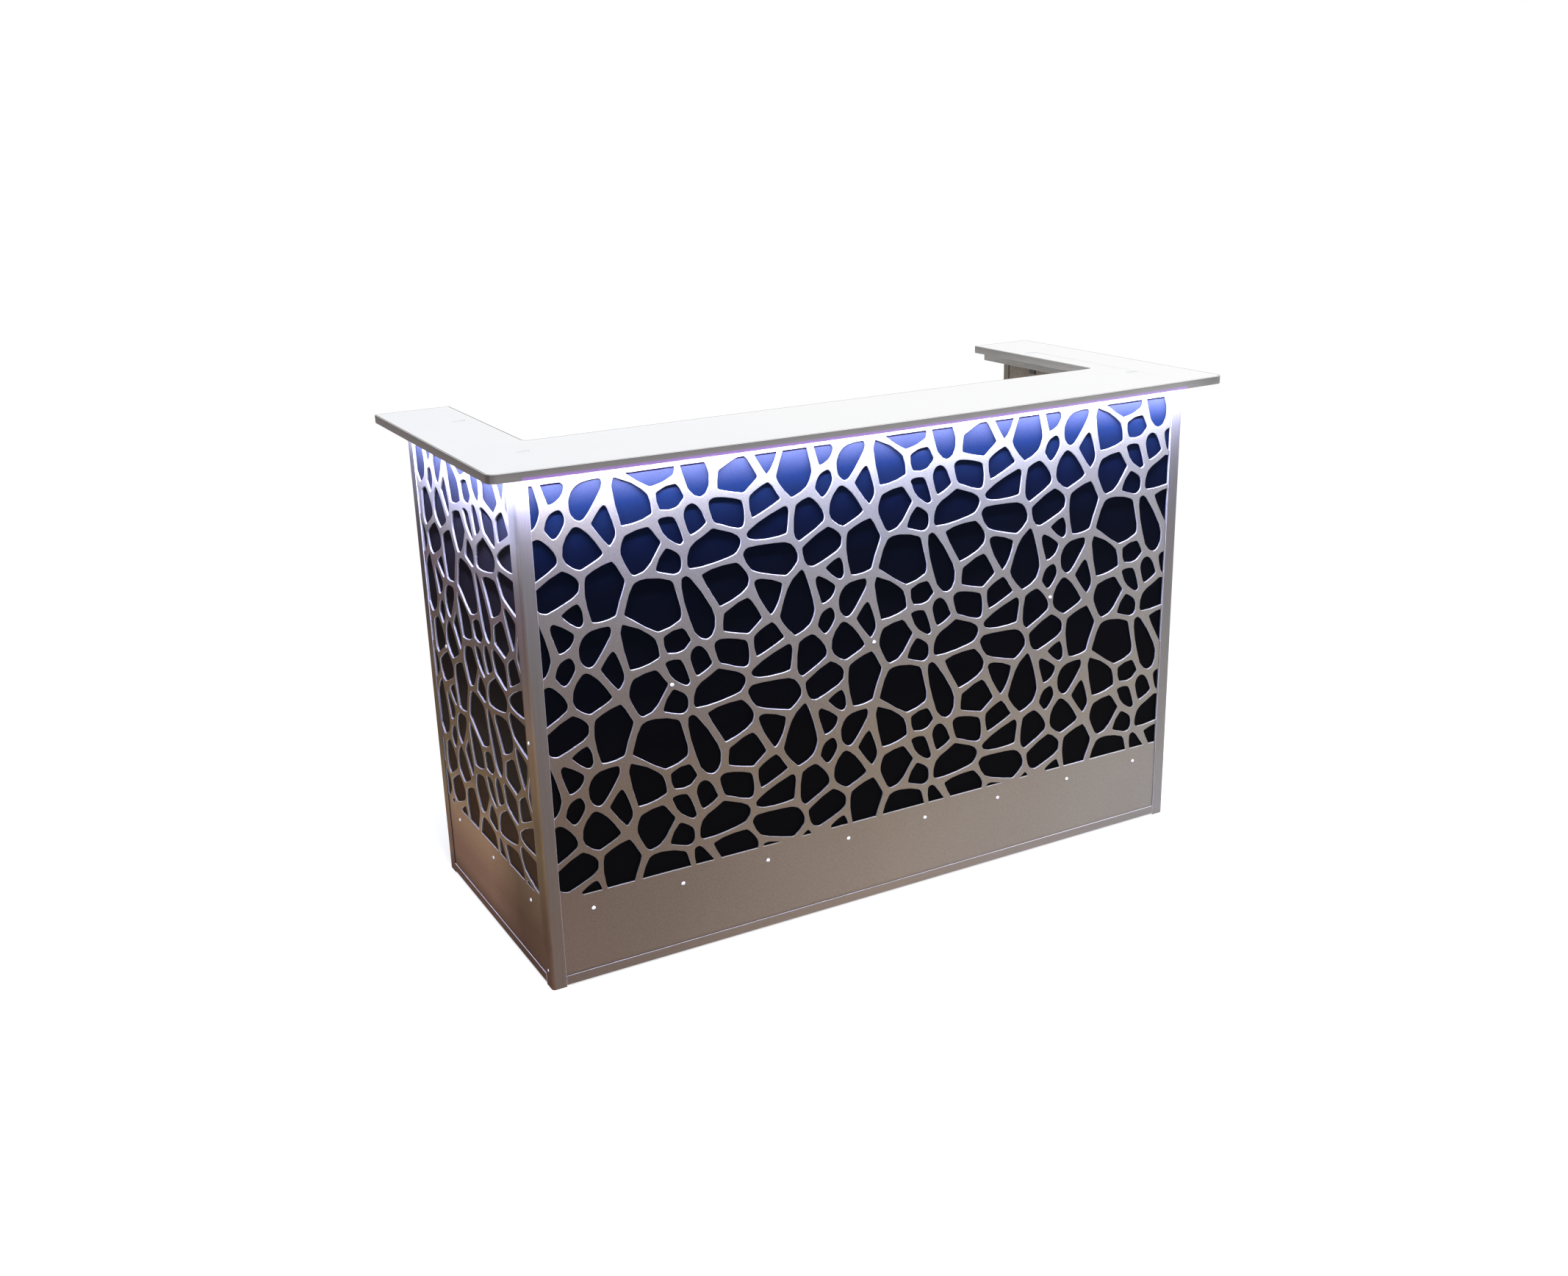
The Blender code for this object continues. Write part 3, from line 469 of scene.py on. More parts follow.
def drawn_aluminium(name, stretch, shader, tone_of):
    """Anodised aluminium with faint lines along the way it was drawn."""
    finish = new_finish(name, **shader)
    lines = noise(finish, 700, 3.0, stretch, 0.6)
    tone = math_node(finish, "ADD", spread(finish, lines, 0.92, 1.08),
                     spread(finish, noise(finish, 900), -0.06, 0.06))
    return surfaced(finish, toned(finish, tone_of(finish), tone), lines, 0.30, 0.42, 0.00004)


def leg_end():
    """The rear posts' ends beside the screens, with painted light: a painted highlight where the strips
    would light them, and a painted shadow at the foot.
    """
    finish = new_finish("post_leg_end_painted_light", Metallic=0.3)
    strokes = noise(finish, 900)
    base = by_height(finish, ((0.22, (0.020, 0.018, 0.026)), (0.40, (0.110, 0.100, 0.110)),
                              (0.62, (0.480, 0.460, 0.480)), (0.90, (0.640, 0.620, 0.640))))
    base = toned(finish, base, spread(finish, strokes, 0.88, 1.12))
    return surfaced(finish, base, strokes, 0.26, 0.38)


def white_laminate():
    """The worktop's white laminate, with painted cool light towards the left, a pearled texture and wiped
    patches.
    """
    finish = new_finish("white_laminate_top", Specular_IOR_Level=0.4)
    pearl = noise(finish, 1500)
    wiped = noise(finish, 5.0, stretch=(1, 2.2, 1))
    # Painted cool light: the laminate is bluer towards the left.
    drift = fade(finish, "X", -HALF_WIDTH, 0.0)
    base = mixed(finish, drift, (0.885, 0.898, 0.930), (0.930, 0.930, 0.932))
    return set_shader(finish, Base_Color=toned(finish, base, spread(finish, pearl, 0.985, 1.005)),
                      Roughness=spread(finish, wiped, 0.30, 0.42),
                      Normal=bumped(finish, pearl, 0.00003, 0.4))


def edge_band(name, left, right, corner=1.0, front=1.0):
    """The grey band glued round the worktop's edge, with painted light and shade: its tone goes from left
    to right, it is lighter at its foot, and its right corner and front may be darker or lighter.
    """
    finish = new_finish(name, Specular_IOR_Level=0.3)
    lines = noise(finish, 1300, stretch=(0.02, 0.02, 1))
    base = mixed(finish, fade(finish, "X", -HALF_WIDTH, HALF_WIDTH), left, right)
    base = toned(finish, base, spread(finish, lines, 0.90, 1.10),
                 fade(finish, "Z", TOP_LOW.z, TOP_HIGH.z, 1.12, 0.86),
                 fade(finish, "X", 0.75, 0.84, 1.0, corner), fade(finish, "Y", 0.0, 0.30, front, 1.0))
    return surfaced(finish, base, lines, 0.42, 0.56, 0.00003)


def painted_glow_arris():
    """The foot of the front edge band, with a painted glow: an emission in the strips' colour that stands
    for the light it catches from them.
    """
    finish = new_finish("painted_glow_arris", Roughness=0.5, Specular_IOR_Level=0.3)
    foot = TOP_LOW.z
    glow = by_height(finish, ((foot, (0.30, 0.12, 0.66)), (foot + 0.0016, (0.20, 0.03, 0.52)),
                              (foot + 0.0040, (0.17, 0.02, 0.44)), (PAINTED_GLOW_TOP, (0.0, 0.0, 0.0))))
    base = mixed(finish, fade(finish, "X", -HALF_WIDTH, HALF_WIDTH), *BAND_PAINTED_LIGHT_TONES)
    return set_shader(finish, Base_Color=base, Emission_Color=glow,
                      Emission_Strength=spread(finish, noise(finish, 9, 1.0), 0.75, 1.0))


def underside():
    """The plain pale underside of the worktop."""
    finish = new_finish("laminate_underside", Specular_IOR_Level=0.3)
    grain = noise(finish, 700)
    base = mixed(finish, grain, (0.56, 0.56, 0.57), (0.68, 0.68, 0.69))
    return surfaced(finish, base, grain, 0.45, 0.6, 0.00004)


def painted_light_backing(name, heights, specular, right=1.0):
    """The panel behind the cells, with painted light: its colours by height and a painted shadow under the
    sheet's edge, with a fine fleck; its right may be lighter as painted light.
    """
    finish = new_finish(name, Specular_IOR_Level=specular)
    fleck = noise(finish, 480, 3.0, roughness=0.75)
    shaded = fade(finish, "Z", *SHADE_EDGE)
    base = mixed(finish, shaded, by_height(finish, heights), SHADE_TINT, "MULTIPLY")
    base = toned(finish, base, spread(finish, fleck, 0.70, 1.30),
                 fade(finish, "X", 0.2, 0.75, 1.0, right))
    return surfaced(finish, base, fleck, 0.50, 0.65, 0.00005)


def grained_board(name, stretch, dark=(0.300, 0.278, 0.250), light=(0.490, 0.462, 0.425)):
    """Grey board printed with a wood grain, with open pores."""
    finish = new_finish(name, Specular_IOR_Level=0.3)
    grain = noise(finish, 60, 5.0, stretch, 0.65)
    pores = noise(finish, 380, stretch=stretch)
    base = mixed(finish, ranged(finish, grain, 0.35, 0.65, 0.0, 1.0), dark, light)
    base = toned(finish, base, ranged(finish, pores, 0.30, 0.50, 0.80, 1.0))
    return set_shader(finish, Base_Color=base, Roughness=spread(finish, grain, 0.46, 0.60),
                      Normal=bumped(finish, pores, 0.00008))


def raw_board():
    """The inside of the walls: brownish pressed board with chips."""
    finish = new_finish("pressed_board", Specular_IOR_Level=0.2, Roughness=0.65)
    chips = add_node(finish, "TexVoronoi", {"Vector": place_on(finish), "Scale": 190.0}).outputs
    tone = add_node(finish, "SeparateColor", {"Color": chips["Color"]}).outputs["Red"]
    base = mixed(finish, tone, (0.445, 0.375, 0.305), (0.590, 0.515, 0.445))
    clouds = spread(finish, noise(finish, 14, 3.0), 0.88, 1.10)
    return set_shader(finish, Base_Color=toned(finish, base, clouds),
                      Normal=bumped(finish, chips["Distance"], 0.00010, 0.4))


def moulded(name, colour, roughness):
    """Moulded plastic with a fine spark-eroded texture."""
    finish = new_finish(name, Specular_IOR_Level=0.4)
    texture = noise(finish, 1600)
    base = toned(finish, colour, spread(finish, texture, 0.92, 1.08))
    return surfaced(finish, base, texture, roughness - 0.05, roughness + 0.07, 0.00004)


def glowing_opal():
    """The opal covers, brighter over each dot of the strip."""
    finish = new_finish("glowing_opal", Base_Color=(0.85, 0.86, 0.95, 1), Roughness=0.4,
                          Emission_Color=(0.80, 0.80, 1.0, 1))
    waves = []
    for axis in "XY":
        turns = math_node(finish, "MULTIPLY", along(finish, axis), 2 * math.pi / STRIP_DOTS)
        waves.append(math_node(finish, "SINE", turns, 0.0))
    dots = math_node(finish, "MULTIPLY", *waves)
    return set_shader(finish, Emission_Strength=ranged(finish, dots, -1.0, 1.0, 1.4, 2.6))


def worn_metal(name, dark, light, roughness, per_metre=400, metallic=1.0):
    """Bare or plated metal with small changes of tone and fine scratches."""
    finish = new_finish(name, Metallic=metallic)
    scratches = noise(finish, 1500, stretch=(1, 0.1, 0.1))
    base = mixed(finish, noise(finish, per_metre, 3.0), dark, light)
    return surfaced(finish, base, scratches, roughness - 0.05, roughness + 0.08, 0.00002)


# Copies of one satin silver for the front and the side walls, whose tones and shaders carry painted light
# and shade.
SILVER = grained_sheet("satin_silver", {**FRONT_SHADER, "Metallic": 0.42}, front_painted_light_tone, 0.34)
SIDE_SILVER = grained_sheet("side_silver", SIDE_SHADER, side_painted_light_tone, 0.40)
# Bright copies of the bare cut metal: the cut edges carry a painted highlight, the side walls' flanks a
# weaker one, all with painted light by height.
CUT_EDGE = cut_edge("cut_edge", (0.325, 0.313, 0.330), (0.450, 0.434, 0.455), (0.26, 0.42), (0.50, 1.10))
SIDE_CUT_EDGE = cut_edge("side_cut_edge", (0.38, 0.365, 0.39), (0.53, 0.51, 0.545), (0.60, 0.85),
                         (1.5, 1.0))
CUT_FLANK = cut_edge("cut_flank", (0.22, 0.21, 0.22), (0.32, 0.31, 0.32))
# The posts' roundings and the corner posts' inward leg ends: a painted highlight.
ARRIS_HIGHLIGHT = cut_edge("arris_painted_highlight", (0.34, 0.32, 0.33), (0.46, 0.44, 0.45))
# Copies of one drawn aluminium for faces that turn to the guests and faces that turn sideways, with painted
# light and shade.
POST_METAL = drawn_aluminium("drawn_upright", (1, 1, 0.012), FRONT_SHADER, drawn_front)
LONG_METAL = drawn_aluminium("drawn_lengthways", (0.012, 1, 1), FRONT_SHADER, drawn_front)
DEEP_METAL = drawn_aluminium("drawn_front_to_back", (1, 0.012, 1), SIDE_SHADER, drawn_side)
SIDE_POST_METAL = drawn_aluminium("drawn_upright_side", (1, 1, 0.012), SIDE_SHADER, drawn_side)
LEG_END_PAINTED_LIGHT = leg_end()
LAMINATE = white_laminate()
# The front band's tones from left to right, lighter at the right: painted light.
BAND_PAINTED_LIGHT_TONES = ((0.190, 0.175, 0.170), (0.262, 0.258, 0.254))
# The side, front and inner copies of the one edge band are lighter or darker by the way they turn: painted
# light and shade.
EDGE_BAND = edge_band("edge_band", *BAND_PAINTED_LIGHT_TONES, corner=0.64)
SIDE_BAND = edge_band("side_edge_band", (0.117, 0.090, 0.079), (0.240, 0.236, 0.232))
INNER_BAND = edge_band("inner_edge_band", (0.54, 0.53, 0.52), (0.60, 0.59, 0.58), front=1.5)
BAND_THICK_EDGE = edge_band("edge_band_seen_from_above", (0.108, 0.088, 0.084), (0.092, 0.070, 0.070))
PAINTED_GLOW_ARRIS = painted_glow_arris()
UNDERSIDE = underside()
# The backings' colours by height are painted light: dark low down and glowing towards the top where the
# strips shine through the cells, the left warm brown low down as a painted reflection.
BLUE_PANEL = painted_light_backing("blue_panel", (
    (0.40, (0.0012, 0.0010, 0.0012)), (0.82, (0.0008, 0.0015, 0.0048)), (0.91, (0.0012, 0.0029, 0.0120)),
    (1.00, (0.0034, 0.0080, 0.0258)), (1.055, (0.0175, 0.0198, 0.0305))), 0.02, 1.35)
SIDE_PANEL = painted_light_backing("side_panel", (
    (0.25, (0.0690, 0.0400, 0.0225)), (0.40, (0.0430, 0.0315, 0.0240)), (0.60, (0.0190, 0.0150, 0.0135)),
    (0.80, (0.0140, 0.0115, 0.0160)), (0.90, (0.0160, 0.0145, 0.0200)), (0.99, (0.0175, 0.0205, 0.0380)),
    (1.055, (0.0250, 0.0280, 0.0400))), 0.0)
RIGHT_PANEL = painted_light_backing("right_side_panel", (
    (0.40, (0.0040, 0.0037, 0.0042)), (0.80, (0.0042, 0.0046, 0.0080)), (0.90, (0.0060, 0.0072, 0.0150)),
    (0.99, (0.0125, 0.0160, 0.0340)), (1.055, (0.0200, 0.0235, 0.0390))), 0.0)
PRESSED_BOARD = raw_board()
LONG_BOARD = grained_board("board_grain_lengthways", (0.05, 1, 1))
DEEP_BOARD = grained_board("board_grain_front_to_back", (1, 0.05, 1))
UPRIGHT_BOARD = grained_board("board_grain_upright", (1, 1, 0.05))
BOARD_EDGE = moulded("board_edge_band", (0.36, 0.34, 0.31), 0.5)
PALE_BOARD = grained_board("board_edge_grain", (1, 0.05, 1), (0.620, 0.600, 0.565), (0.820, 0.800, 0.770))
PALE_PLASTIC = moulded("cover_cap_plastic", (0.80, 0.81, 0.83), 0.38)
BLACK_PLASTIC = moulded("moulded_black", (0.020, 0.020, 0.022), 0.46)
ROCKER_PLASTIC = moulded("rocker_black", (0.012, 0.012, 0.013), 0.30)
MARK_PAINT = moulded("mark_white", (0.80, 0.80, 0.78), 0.45)
OPAL = glowing_opal()
ZINC = worn_metal("dark_zinc_plate", (0.045, 0.042, 0.046), (0.080, 0.076, 0.080), 0.42)
# A dim brownish copy of the posts' metal for faces turned inwards: painted shade.
INNER_METAL_SHADE = worn_metal("inner_metal_painted_shade", (0.235, 0.195, 0.160), (0.310, 0.260, 0.220), 0.50, 250, 0.15)
RIVET_METAL = worn_metal("rivet_metal", (0.76, 0.75, 0.75), (0.90, 0.89, 0.89), 0.22, metallic=0.45)
# The rivets' faces that turn down: painted shade.
RIVET_SHADE = worn_metal("rivet_metal_painted_shade", (0.14, 0.12, 0.12), (0.22, 0.20, 0.20), 0.30,
                         metallic=0.45)
PIN_METAL = worn_metal("nickel_pins", (0.60, 0.57, 0.50), (0.74, 0.71, 0.64), 0.25)


# Shapes

def new_piece(name, shape, finishes, body="counter", replaced=()):
    """Make a piece of a finished shape, in its place."""
    mesh = bpy.data.meshes.new(name)
    shape.to_mesh(mesh)
    shape.free()
    for attribute in [a for a in mesh.attributes if a.name == "custom_normal"]:
        mesh.attributes.remove(attribute)
    for finish in finishes:
        mesh.materials.append(finish)
    piece = show(bpy.data.objects.new(name, mesh))
    even = piece.modifiers.new("even_shading", "WEIGHTED_NORMAL")
    even.keep_sharp = True
    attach(piece, body)
    if replaced:
        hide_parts(*replaced)


def merged_copy(node):
    """A copy of a node's mesh, with its loose triangles joined into whole faces."""
    shape = bmesh.new()
    shape.from_mesh(frame["nodes"][node].data)
    bmesh.ops.remove_doubles(shape, verts=shape.verts, dist=0.00002)
    bmesh.ops.dissolve_limit(shape, angle_limit=math.radians(0.5), verts=shape.verts, edges=shape.edges)
    for face in shape.faces:
        face.material_index = 0
    return shape


def soften(shape, width, segments=2, edge_finish=None):
    """Round every sharp edge, and shade the whole shape smooth; the roundings may have their own finish."""
    sharp = [e for e in shape.edges if e.is_manifold and e.calc_face_angle() > SHARP]
    rounded = bmesh.ops.bevel(shape, geom=sharp, offset=width, offset_type="OFFSET", affect="EDGES",
                              segments=segments, profile=0.5, material=-1, clamp_overlap=True)
    for face in shape.faces:
        face.smooth = True
    if edge_finish is not None:
        for face in rounded["faces"]:
            face.material_index = edge_finish


def dressed(node, finishes, width, choose=None, body="counter", segments=2, edge_finish=None):
    """A node with softened edges; choose may pick a face's finish from its outward direction and middle."""
    shape = merged_copy(node)
    soften(shape, width, segments, edge_finish)
    if choose:
        shape.normal_update()
        for face in shape.faces:
            picked = choose(face.normal, face.calc_center_median())
            face.material_index = face.material_index if picked is None else picked
    new_piece(node + "_dressed", shape, finishes, body, (node,))


def turned(profile, place, steps=ROUND_STEPS):
    """A profile of (radius, height) points, turned about its own upright axis and then put in its place."""
    shape = bmesh.new()
    points = [shape.verts.new((radius, 0, height)) for radius, height in profile]
    edges = [shape.edges.new(pair) for pair in zip(points, points[1:])]
    bmesh.ops.spin(shape, geom=points + edges, cent=(0, 0, 0), axis=(0, 0, 1), dvec=(0, 0, 0),
                   angle=2 * math.pi, steps=steps, use_merge=True)
    bmesh.ops.remove_doubles(shape, verts=shape.verts, dist=0.000005)
    bmesh.ops.recalc_face_normals(shape, faces=shape.faces)
    for face in shape.faces:
        face.smooth = True
    shape.transform(place)
    return shape


def block(size, place, width):
    """A block with softened edges, centred on its place."""
    shape = bmesh.new()
    bmesh.ops.create_cube(shape, size=1.0)
    bmesh.ops.scale(shape, vec=size, verts=shape.verts)
    soften(shape, width)
    shape.transform(place)
    return shape


def joined(shapes):
    """Several shapes in one."""
    whole = bmesh.new()
    mesh = bpy.data.meshes.new("joined")
    for shape in shapes:
        shape.to_mesh(mesh)
        shape.free()
        whole.from_mesh(mesh)
    bpy.data.meshes.remove(mesh)
    return whole


# The screens

def cut_corners(outline, reach, share):
    """Cut back every corner of an outline, by at most a reach and a share of the edge."""
    result = []
    for index, corner in enumerate(outline):
        here = Vector(corner)
        for other in (outline[index - 1], outline[(index + 1) % len(outline)]):
            way = Vector(other) - here
            result.append(tuple(here + way * min(share, reach / way.length)))
    return result


def clip(outline, axis, limit, keep):
    """Cut an outline off at one straight line, keeping the side where keep * value is the smaller."""
    kept = []
    for index, here in enumerate(outline):
        last = outline[index - 1]
        here_in = keep * here[axis] <= keep * limit
        last_in = keep * last[axis] <= keep * limit
        if here_in != last_in:
            share = (limit - last[axis]) / (here[axis] - last[axis])
            kept.append(tuple(a + share * (b - a) for a, b in zip(last, here)))
        if here_in:
            kept.append(here)
    return kept


def area(outline):
    """The area inside an outline."""
    pairs = zip(outline[-1:] + outline, outline)
    return abs(sum(last_x * y - x * last_y for (last_x, last_y), (x, y) in pairs)) / 2


def cells_in(x0, x1, z0, z1, start):
    """The rounded cells inside a window, with the corner of one repeat at start and PATTERN_TOP."""
    cells = []
    columns = range(math.floor((x0 - start) / PATTERN_WIDTH) - 1,
                    math.ceil((x1 - start) / PATTERN_WIDTH) + 1)
    rows = range(-2, math.ceil((PATTERN_TOP - z0) / PATTERN_HEIGHT) + 1)
    for column in columns:
        for row in rows:
            for cell in CELLS:
                outline = [pattern_place(start, column, row, u, v) for u, v in cell]
                for reach, share in CORNER_CUTS:
                    outline = cut_corners(outline, reach, share)
                for axis, limit, keep in ((0, x0, -1), (0, x1, 1), (1, z0, -1), (1, z1, 1)):
                    outline = clip(outline, axis, limit, keep)
                if len(outline) > 2 and area(outline) > SMALLEST_CELL ** 2:
                    cells.append(outline)
    return cells


def pattern_place(start, column, row, u, v):
    """A place of the pattern on its wall, from its repeat and its millimetres."""
    return start + column * PATTERN_WIDTH + u * MM, PATTERN_TOP - row * PATTERN_HEIGHT - v * MM


def flat_sheet(name, outlines):
    """A sheet with holes and a small chamfer along every edge, drawn as a flat curve and made a mesh."""
    curve = bpy.data.curves.new(name, "CURVE")
    curve.dimensions = "2D"
    curve.fill_mode = "BOTH"
    curve.extrude = SHEET / 2 - CELL_CHAMFER
    curve.bevel_depth = CELL_CHAMFER
    curve.bevel_resolution = 0
    curve.offset = -CELL_CHAMFER
    for outline in outlines:
        spline = curve.splines.new("POLY")
        spline.points.add(len(outline) - 1)
        for point, (x, y) in zip(spline.points, outline):
            point.co = (x, y, 0, 1)
        spline.use_cyclic_u = True
    drawn = show(bpy.data.objects.new(name, curve))
    bpy.context.view_layer.update()
    mesh = bpy.data.meshes.new_from_object(drawn.evaluated_get(bpy.context.evaluated_depsgraph_get()))
    shape = bmesh.new()
    shape.from_mesh(mesh)
    bpy.data.objects.remove(drawn, do_unlink=True)
    bpy.data.curves.remove(curve)
    bpy.data.meshes.remove(mesh)
    bmesh.ops.remove_doubles(shape, verts=shape.verts, dist=0.00001)
    bmesh.ops.recalc_face_normals(shape, faces=shape.faces)
    return shape


def make_screen(wall, ends, window, place):
    """One wall's cut sheet: satin faces, and cut edges with a painted highlight where they face up or
    towards the guests.
    """
    low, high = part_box(wall + "_screen")
    outlines = [[(ends[0], low.z), (ends[1], low.z), (ends[1], high.z), (ends[0], high.z)]]
    outlines += cells_in(*window, KICK_BAND_TOP, CELLS_TOP, PATTERN_STARTS[wall])
    shape = flat_sheet(wall + "_sheet_outline", outlines)
    for face in shape.faces:
        outward = abs(face.normal.z)
        # Chamfers that face up or one way along the wall take the bright cut-edge copy, a painted
        # highlight; the side walls' flanks take a duller copy, the front's the bright one.
        lit = face.normal.y > 0.15 or HIGHLIGHT_WAYS[wall] * face.normal.x > 0.25
        face.smooth = outward < 0.9
        if outward < 0.3:
            face.material_index = 1 if wall == "front" else 2
        else:
            face.material_index = 1 if outward < 0.9 and lit else 0
    for edge in shape.edges:
        edge.smooth = edge.is_manifold and edge.calc_face_angle() < SHARP
    shape.transform(at(place, WALL_TURNS[wall]))
    faces = (SILVER, CUT_EDGE) if wall == "front" else (SIDE_SILVER, SIDE_CUT_EDGE)
    new_piece(wall + "_cut_sheet", shape, (*faces, CUT_FLANK), replaced=(wall + "_screen",))


def make_screens():
    """The three cut sheets, within the solids they stand for."""
    low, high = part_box("front_screen")
    edge = HALF_WIDTH - FRONT_LEG
    depth = SHEET_SETBACK + SHEET / 2
    make_screen("front", (low.x, high.x), (-edge, edge), (0, FRONT + depth, 0))
    for name, side in SIDES.items():
        low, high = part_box(name + "_screen")
        ends = sorted((side * low.y, side * high.y))
        window = sorted((side * (FRONT + SIDE_CELLS_START), side * (BACK - REAR_LEG)))
        make_screen(name, ends, window, (side * (HALF_WIDTH - depth), 0, 0))


def make_backings():
    """The panels behind the cells: coloured outside, pressed board inside."""
    for wall, panel in (("front", BLUE_PANEL), ("left", SIDE_PANEL), ("right", RIGHT_PANEL)):
        outward = WALL_TURNS[wall].col[2].xyz

        def outside(normal, middle, outward=outward):
            return 0 if normal.dot(outward) > 0.5 else 1

        dressed(wall + "_backing", (panel, PRESSED_BOARD), 0.0003, outside, segments=1)


# The worktop

def worktop_part(normal, middle):
    """Which finish a face of the worktop has: top, front band, arris with a painted glow, underside, side
    or inner band; the band's side, front and inner copies carry painted light and shade.
    """
    if normal.z > 0.6:
        return 0
    if normal.z < -0.9:
        return 3
    # The front band's foot here takes the painted glow.
    lit = middle.z < PAINTED_GLOW_TOP and -HALF_WIDTH < middle.x < PAINTED_GLOW_END
    if lit and normal.y < -0.3 and middle.y < FRONT:
        return 2
    if normal.y > 0.5 or normal.x * middle.x < -0.3:
        return 5
    return 4 if abs(normal.x) > 0.7 else 1


def make_worktop():
    """The worktop with soft arrises and its band's edge showing, and the dished caps over its bolts."""
    shape = merged_copy("worktop")
    for place, direction in (((0, 0, PAINTED_GLOW_TOP), (0, 0, 1)), ((-HALF_WIDTH, 0, 0), (1, 0, 0)),
                             ((PAINTED_GLOW_END, 0, 0), (1, 0, 0))):
        bmesh.ops.bisect_plane(shape, geom=shape.verts[:] + shape.edges[:] + shape.faces[:], dist=0.00001,
                               plane_co=place, plane_no=direction)
    top = [face for face in shape.faces if face.normal.z > 0.9]
    bmesh.ops.inset_region(shape, faces=top, thickness=BAND_THICKNESS, depth=0, use_even_offset=True)
    inside = set(top)
    ring = [face for face in shape.faces if face.normal.z > 0.9 and face not in inside]
    caps = [f"{name}_{row}_cap" for name in SIDES for row in ("front", "rear")]
    for face in ring:
        middle = face.calc_center_median()
        if all((middle - middle_of(cap)).xy.length > CAP_CLEARANCE for cap in caps):
            face.material_index = 6
    soften(shape, WORKTOP_ARRIS, 3)
    shape.normal_update()
    for face in shape.faces:
        if face.material_index != 6 or face.normal.z < 0.99:
            face.material_index = worktop_part(face.normal, face.calc_center_median())
    finishes = (LAMINATE, EDGE_BAND, PAINTED_GLOW_ARRIS, UNDERSIDE, SIDE_BAND, INNER_BAND, BAND_THICK_EDGE)
    new_piece("worktop_dressed", shape, finishes, replaced=("worktop",))
    for cap in caps:
        low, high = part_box(cap)
        radius = (high.x - low.x) / 2
        drop = high.z - low.z
        profile = [(0, -0.0007), (0.55 * radius, -0.0005), (0.80 * radius, -0.0002), (0.88 * radius, 0),
                   (0.94 * radius, -0.0001), (radius, -0.0006), (radius, -drop), (0, -drop)]
        shape = turned(profile, at((*middle_of(cap).xy, high.z)), CAP_STEPS)
        new_piece(cap + "_dished", shape, (PALE_PLASTIC,), replaced=(cap,))


# Posts, rails and strips

def post_part(normal, middle):
    """A post's faces take copies of its metal by the way they turn, as painted light and shade: sideways
    faces and the rounded corner the darker side copy, leg ends a painted highlight or painted light and
    shadow, inner faces a dim copy.
    """
    inward = normal.x * middle.x
    if inward < 0 and middle.y < FRONT + ON_FACE and abs(normal.x) > 0.3:
        return 1
    if middle.y > 0 and normal.y < -0.3 and abs(middle.x) > HALF_WIDTH - ON_FACE:
        return 3
    if inward < -0.3 or (normal.y > 0.5 and middle.y < 0):
        return 4
    on_corner = abs(middle.x) > HALF_WIDTH - POST_CORNER and middle.y < FRONT + POST_CORNER
    return 2 if abs(normal.x) > (0.3 if on_corner else 0.95) and abs(normal.z) < 0.3 else None


def make_frame():
    """Posts, rails and strip channels with softened edges, the posts' and rails' roundings with a painted
    highlight; the covers glow.
    """
    finishes = (POST_METAL, ARRIS_HIGHLIGHT, SIDE_POST_METAL, LEG_END_PAINTED_LIGHT, INNER_METAL_SHADE)
    for wall in (*SIDES, "front"):
        for post in ("corner", "rear") if wall in SIDES else ():
            dressed(f"{wall}_{post}_post", finishes, 0.0006, post_part, edge_finish=1)
        metal, edge = (DEEP_METAL, SIDE_CUT_EDGE) if wall in SIDES else (LONG_METAL, CUT_EDGE)
        dressed(wall + "_rail", (metal, edge), 0.0008, edge_finish=1)
        dressed(wall + "_light_channel", (metal,), 0.0002)
        dressed(wall + "_light_cover", (OPAL,), 0.0003)


# Fasteners

def dome(radius, height, sunk, pit):
    """The profile of a dome head on a flat seat, with a small pit in its middle."""
    profile = [(0, height - pit), (0.24 * radius, height - pit), (0.30 * radius, height * 0.985)]
    for angle in (30, 45, 60, 75):
        turn = math.radians(angle)
        profile.append((radius * math.sin(turn), height * math.cos(turn) * 1.02))
    profile += [(radius, 0.10 * height), (radius * 0.98, 0), (0.45 * radius, 0)]
    return profile + [(0.45 * radius, -sunk), (0, -sunk)]


def head(name, wall, place, profile, replaced=()):
    """A turned head on a wall, with painted shade on the faces that turn down."""
    shape = turned(profile, at(place, WALL_TURNS[wall]) @ at((0, 0, RIVET_SEAT)))
    shape.normal_update()
    for face in shape.faces:
        face.material_index = 1 if face.normal.z < -0.2 else 0
    new_piece(name, shape, (RIVET_METAL, RIVET_SHADE), replaced=replaced)


